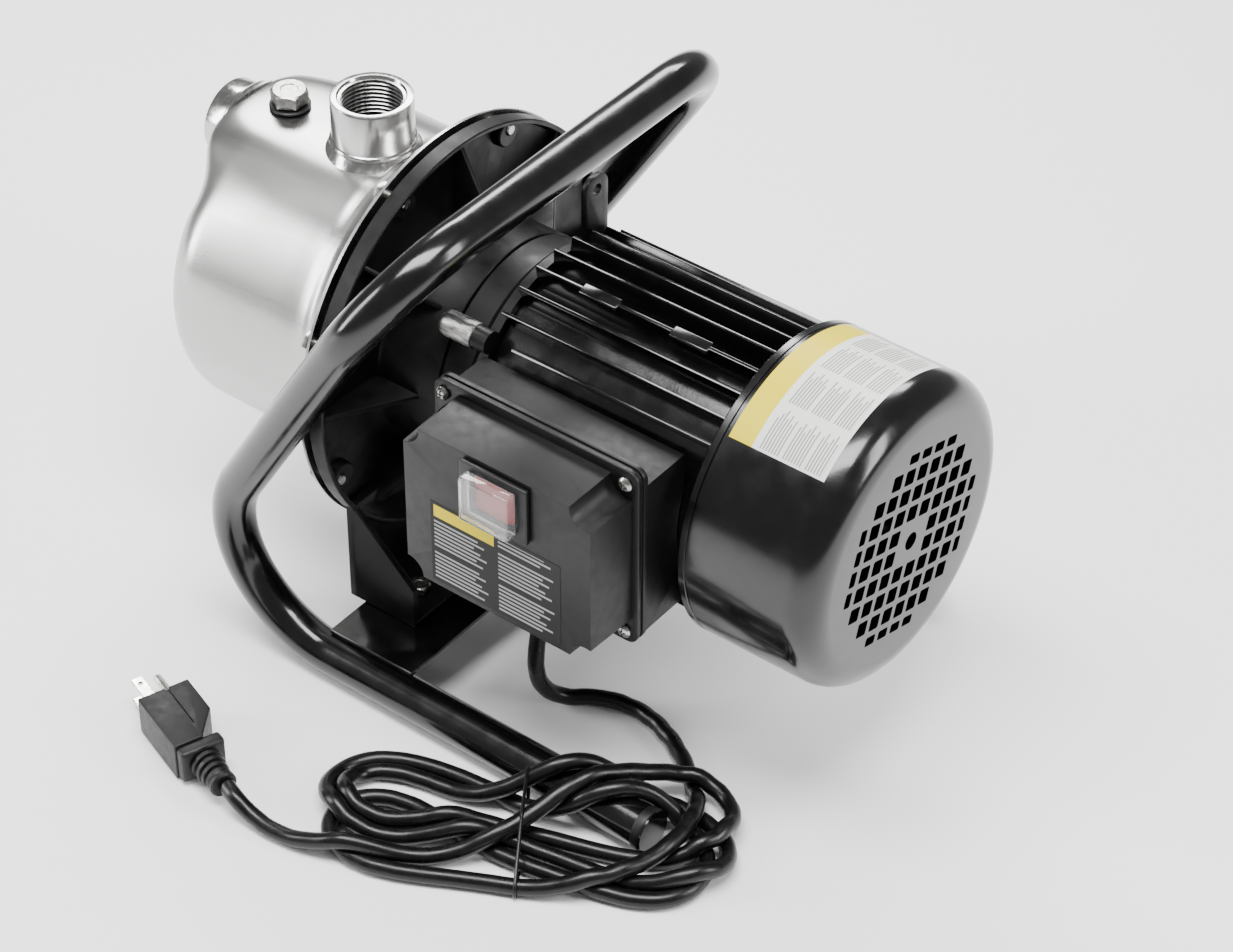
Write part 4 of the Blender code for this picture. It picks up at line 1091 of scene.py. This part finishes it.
def plug(rubber):
    front = put(-35.5, -195.5, FLOOR + 11.4)
    turn = Matrix.Translation(front) @ Matrix.Rotation(math.radians(-20), 4, "Z")
    origin = put(0, 0, 0)

    def lay(ob):
        ob.data.transform(turn @ Matrix.Translation(-origin))
        return ob

    body = block((0.2, -13.8, -10.8), (40, 13.8, 10.8))
    choose(body)
    notch = block((-2, 1.0, -14), (1.6, 3.0, 14), 0)
    carve(body, notch)
    shoulder = block((24, 0, -14), (60, 20, 14))
    shoulder.data.transform(Matrix.Translation(put(24, 13.9, 0)) @ Matrix.Rotation(math.radians(-38), 4, "Z")
                            @ Matrix.Translation(-put(24, 0, 0)))
    carve(body, shoulder)
    soften(body, 1.8, 4, 40)
    groove = block((1, 1.3, 10.0), (30, 2.5, 14), 0.4)
    carve(body, groove, block((1, 1.3, -14), (30, 2.5, -10.0), 0.4))
    collar = block((38.8, -13.0, -9.4), (46.4, 10.4, 9.4), 1.8)
    outline = [(66, 0), (66, 6.2), (65.2, 7.0), (63.2, 7.0), (62.4, 6.3)]
    for i in range(4):
        x = 61.6 - 3.9 * i
        outline += [(x, 6.6 + 0.55 * i), (x - 1.9, 6.8 + 0.55 * i),
                    (x - 2.2, 5.6 + 0.5 * i), (x - 3.5, 5.6 + 0.5 * i)]
    outline += [(46, 9.2), (45, 0)]
    sleeve = spun(outline, (0, -1.0, 0), steps=48)
    fuse(body, collar, sleeve)
    settle(lay(body), "plug_skin", rubber, angle=32)
    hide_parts("plug_body")
    return body


def inside_finishes(finishes):
    """Finish the CAD nodes that stay as they are."""
    for node, mat in finishes.items():
        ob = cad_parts[node]
        ob.data.materials.clear()
        ob.data.materials.append(mat)


camera_and_light()
jacket = cord_rubber()
stainless = polished_stainless()
steel = turned_steel()
paint = gloss_paint()
housing_paint = gloss_paint("housing_black", 0.1)
casting = cast_black()
box_plastic = moulded_plastic()
black_plastic = moulded_plastic("switch_plastic", 0.006, 0.34, 0.08)
rubber = cord_rubber("moulded_rubber", 0.45, 0.15)
zinc = zinc_plate()
cord_piece, tie, cord_path = cord(jacket)
stand(paint, rubber, zinc)
casing(stainless)
ports(steel)
fasteners(zinc, rubber)
bracket(casting)
nose(casting, bare_casting())
motor(housing_paint)
fan_cover(paint)
terminal_box(box_plastic, rubber, zinc)
switch(black_plastic, red_plastic(), clear_plastic())
gland(rubber)
plug_piece = plug(rubber)
warning = printed_label("warning_paper", (0.62, 0.62, 0.6), (0.2, 0.2, 0.2), 34, 4, LABEL_YELLOW, 0.24)
wrapped_label("warning_label", warning, 197.5, 250, 50, 122, 0.12)
rating = printed_label("rating_print", (0.008, 0.008, 0.008), (0.3, 0.3, 0.3), 20, 2)
flat_label("rating_plate", rating, 79, 156, -39.4, 9, -122.0)
name_bar = new_material("name_yellow", LABEL_YELLOW, LABEL_ROUGHNESS, Specular_IOR_Level=LABEL_GLOSS)
flat_label("name_bar", name_bar, 81, 117, 0.4, 7.4, -122.1)
dark_plastic = moulded_plastic("pump_plastic", 0.02, 0.5, 0.1)
brass = plain_metal("cast_brass", (0.45, 0.32, 0.12), (0.66, 0.5, 0.22), 0.3)
copper = plain_metal("winding_copper", (0.4, 0.14, 0.05), (0.65, 0.28, 0.1), 0.35)
ground_steel = plain_metal("ground_steel", (0.42, 0.42, 0.42), (0.56, 0.56, 0.56), 0.24)
laminations = plain_metal("laminations", (0.18, 0.18, 0.19), (0.3, 0.3, 0.31), 0.42)
ceramic = moulded_plastic("seal_ceramic", 0.7, 0.3, 0.02)
nickel = plain_metal("nickel_blade", (0.6, 0.58, 0.53), (0.72, 0.7, 0.65), 0.2)
inside_finishes({
    "casing_oring": rubber, "box_gasket": rubber, "seal_plate": steel, "diffuser": dark_plastic,
    "venturi_tube": dark_plastic, "jet_nozzle": brass, "impeller": brass, "impeller_nut": brass,
    "seal_seat": ceramic, "seal_ring": rubber, "rotor_shaft": ground_steel, "front_bearing": ground_steel,
    "rear_bearing": ground_steel, "stator_core": laminations, "rotor_core": laminations,
    "winding_front": copper, "winding_rear": copper, "rear_end_shield": casting, "cooling_fan": dark_plastic,
    "capacitor": ceramic, "blade_left": nickel, "blade_right": nickel, "ground_pin": nickel,
})
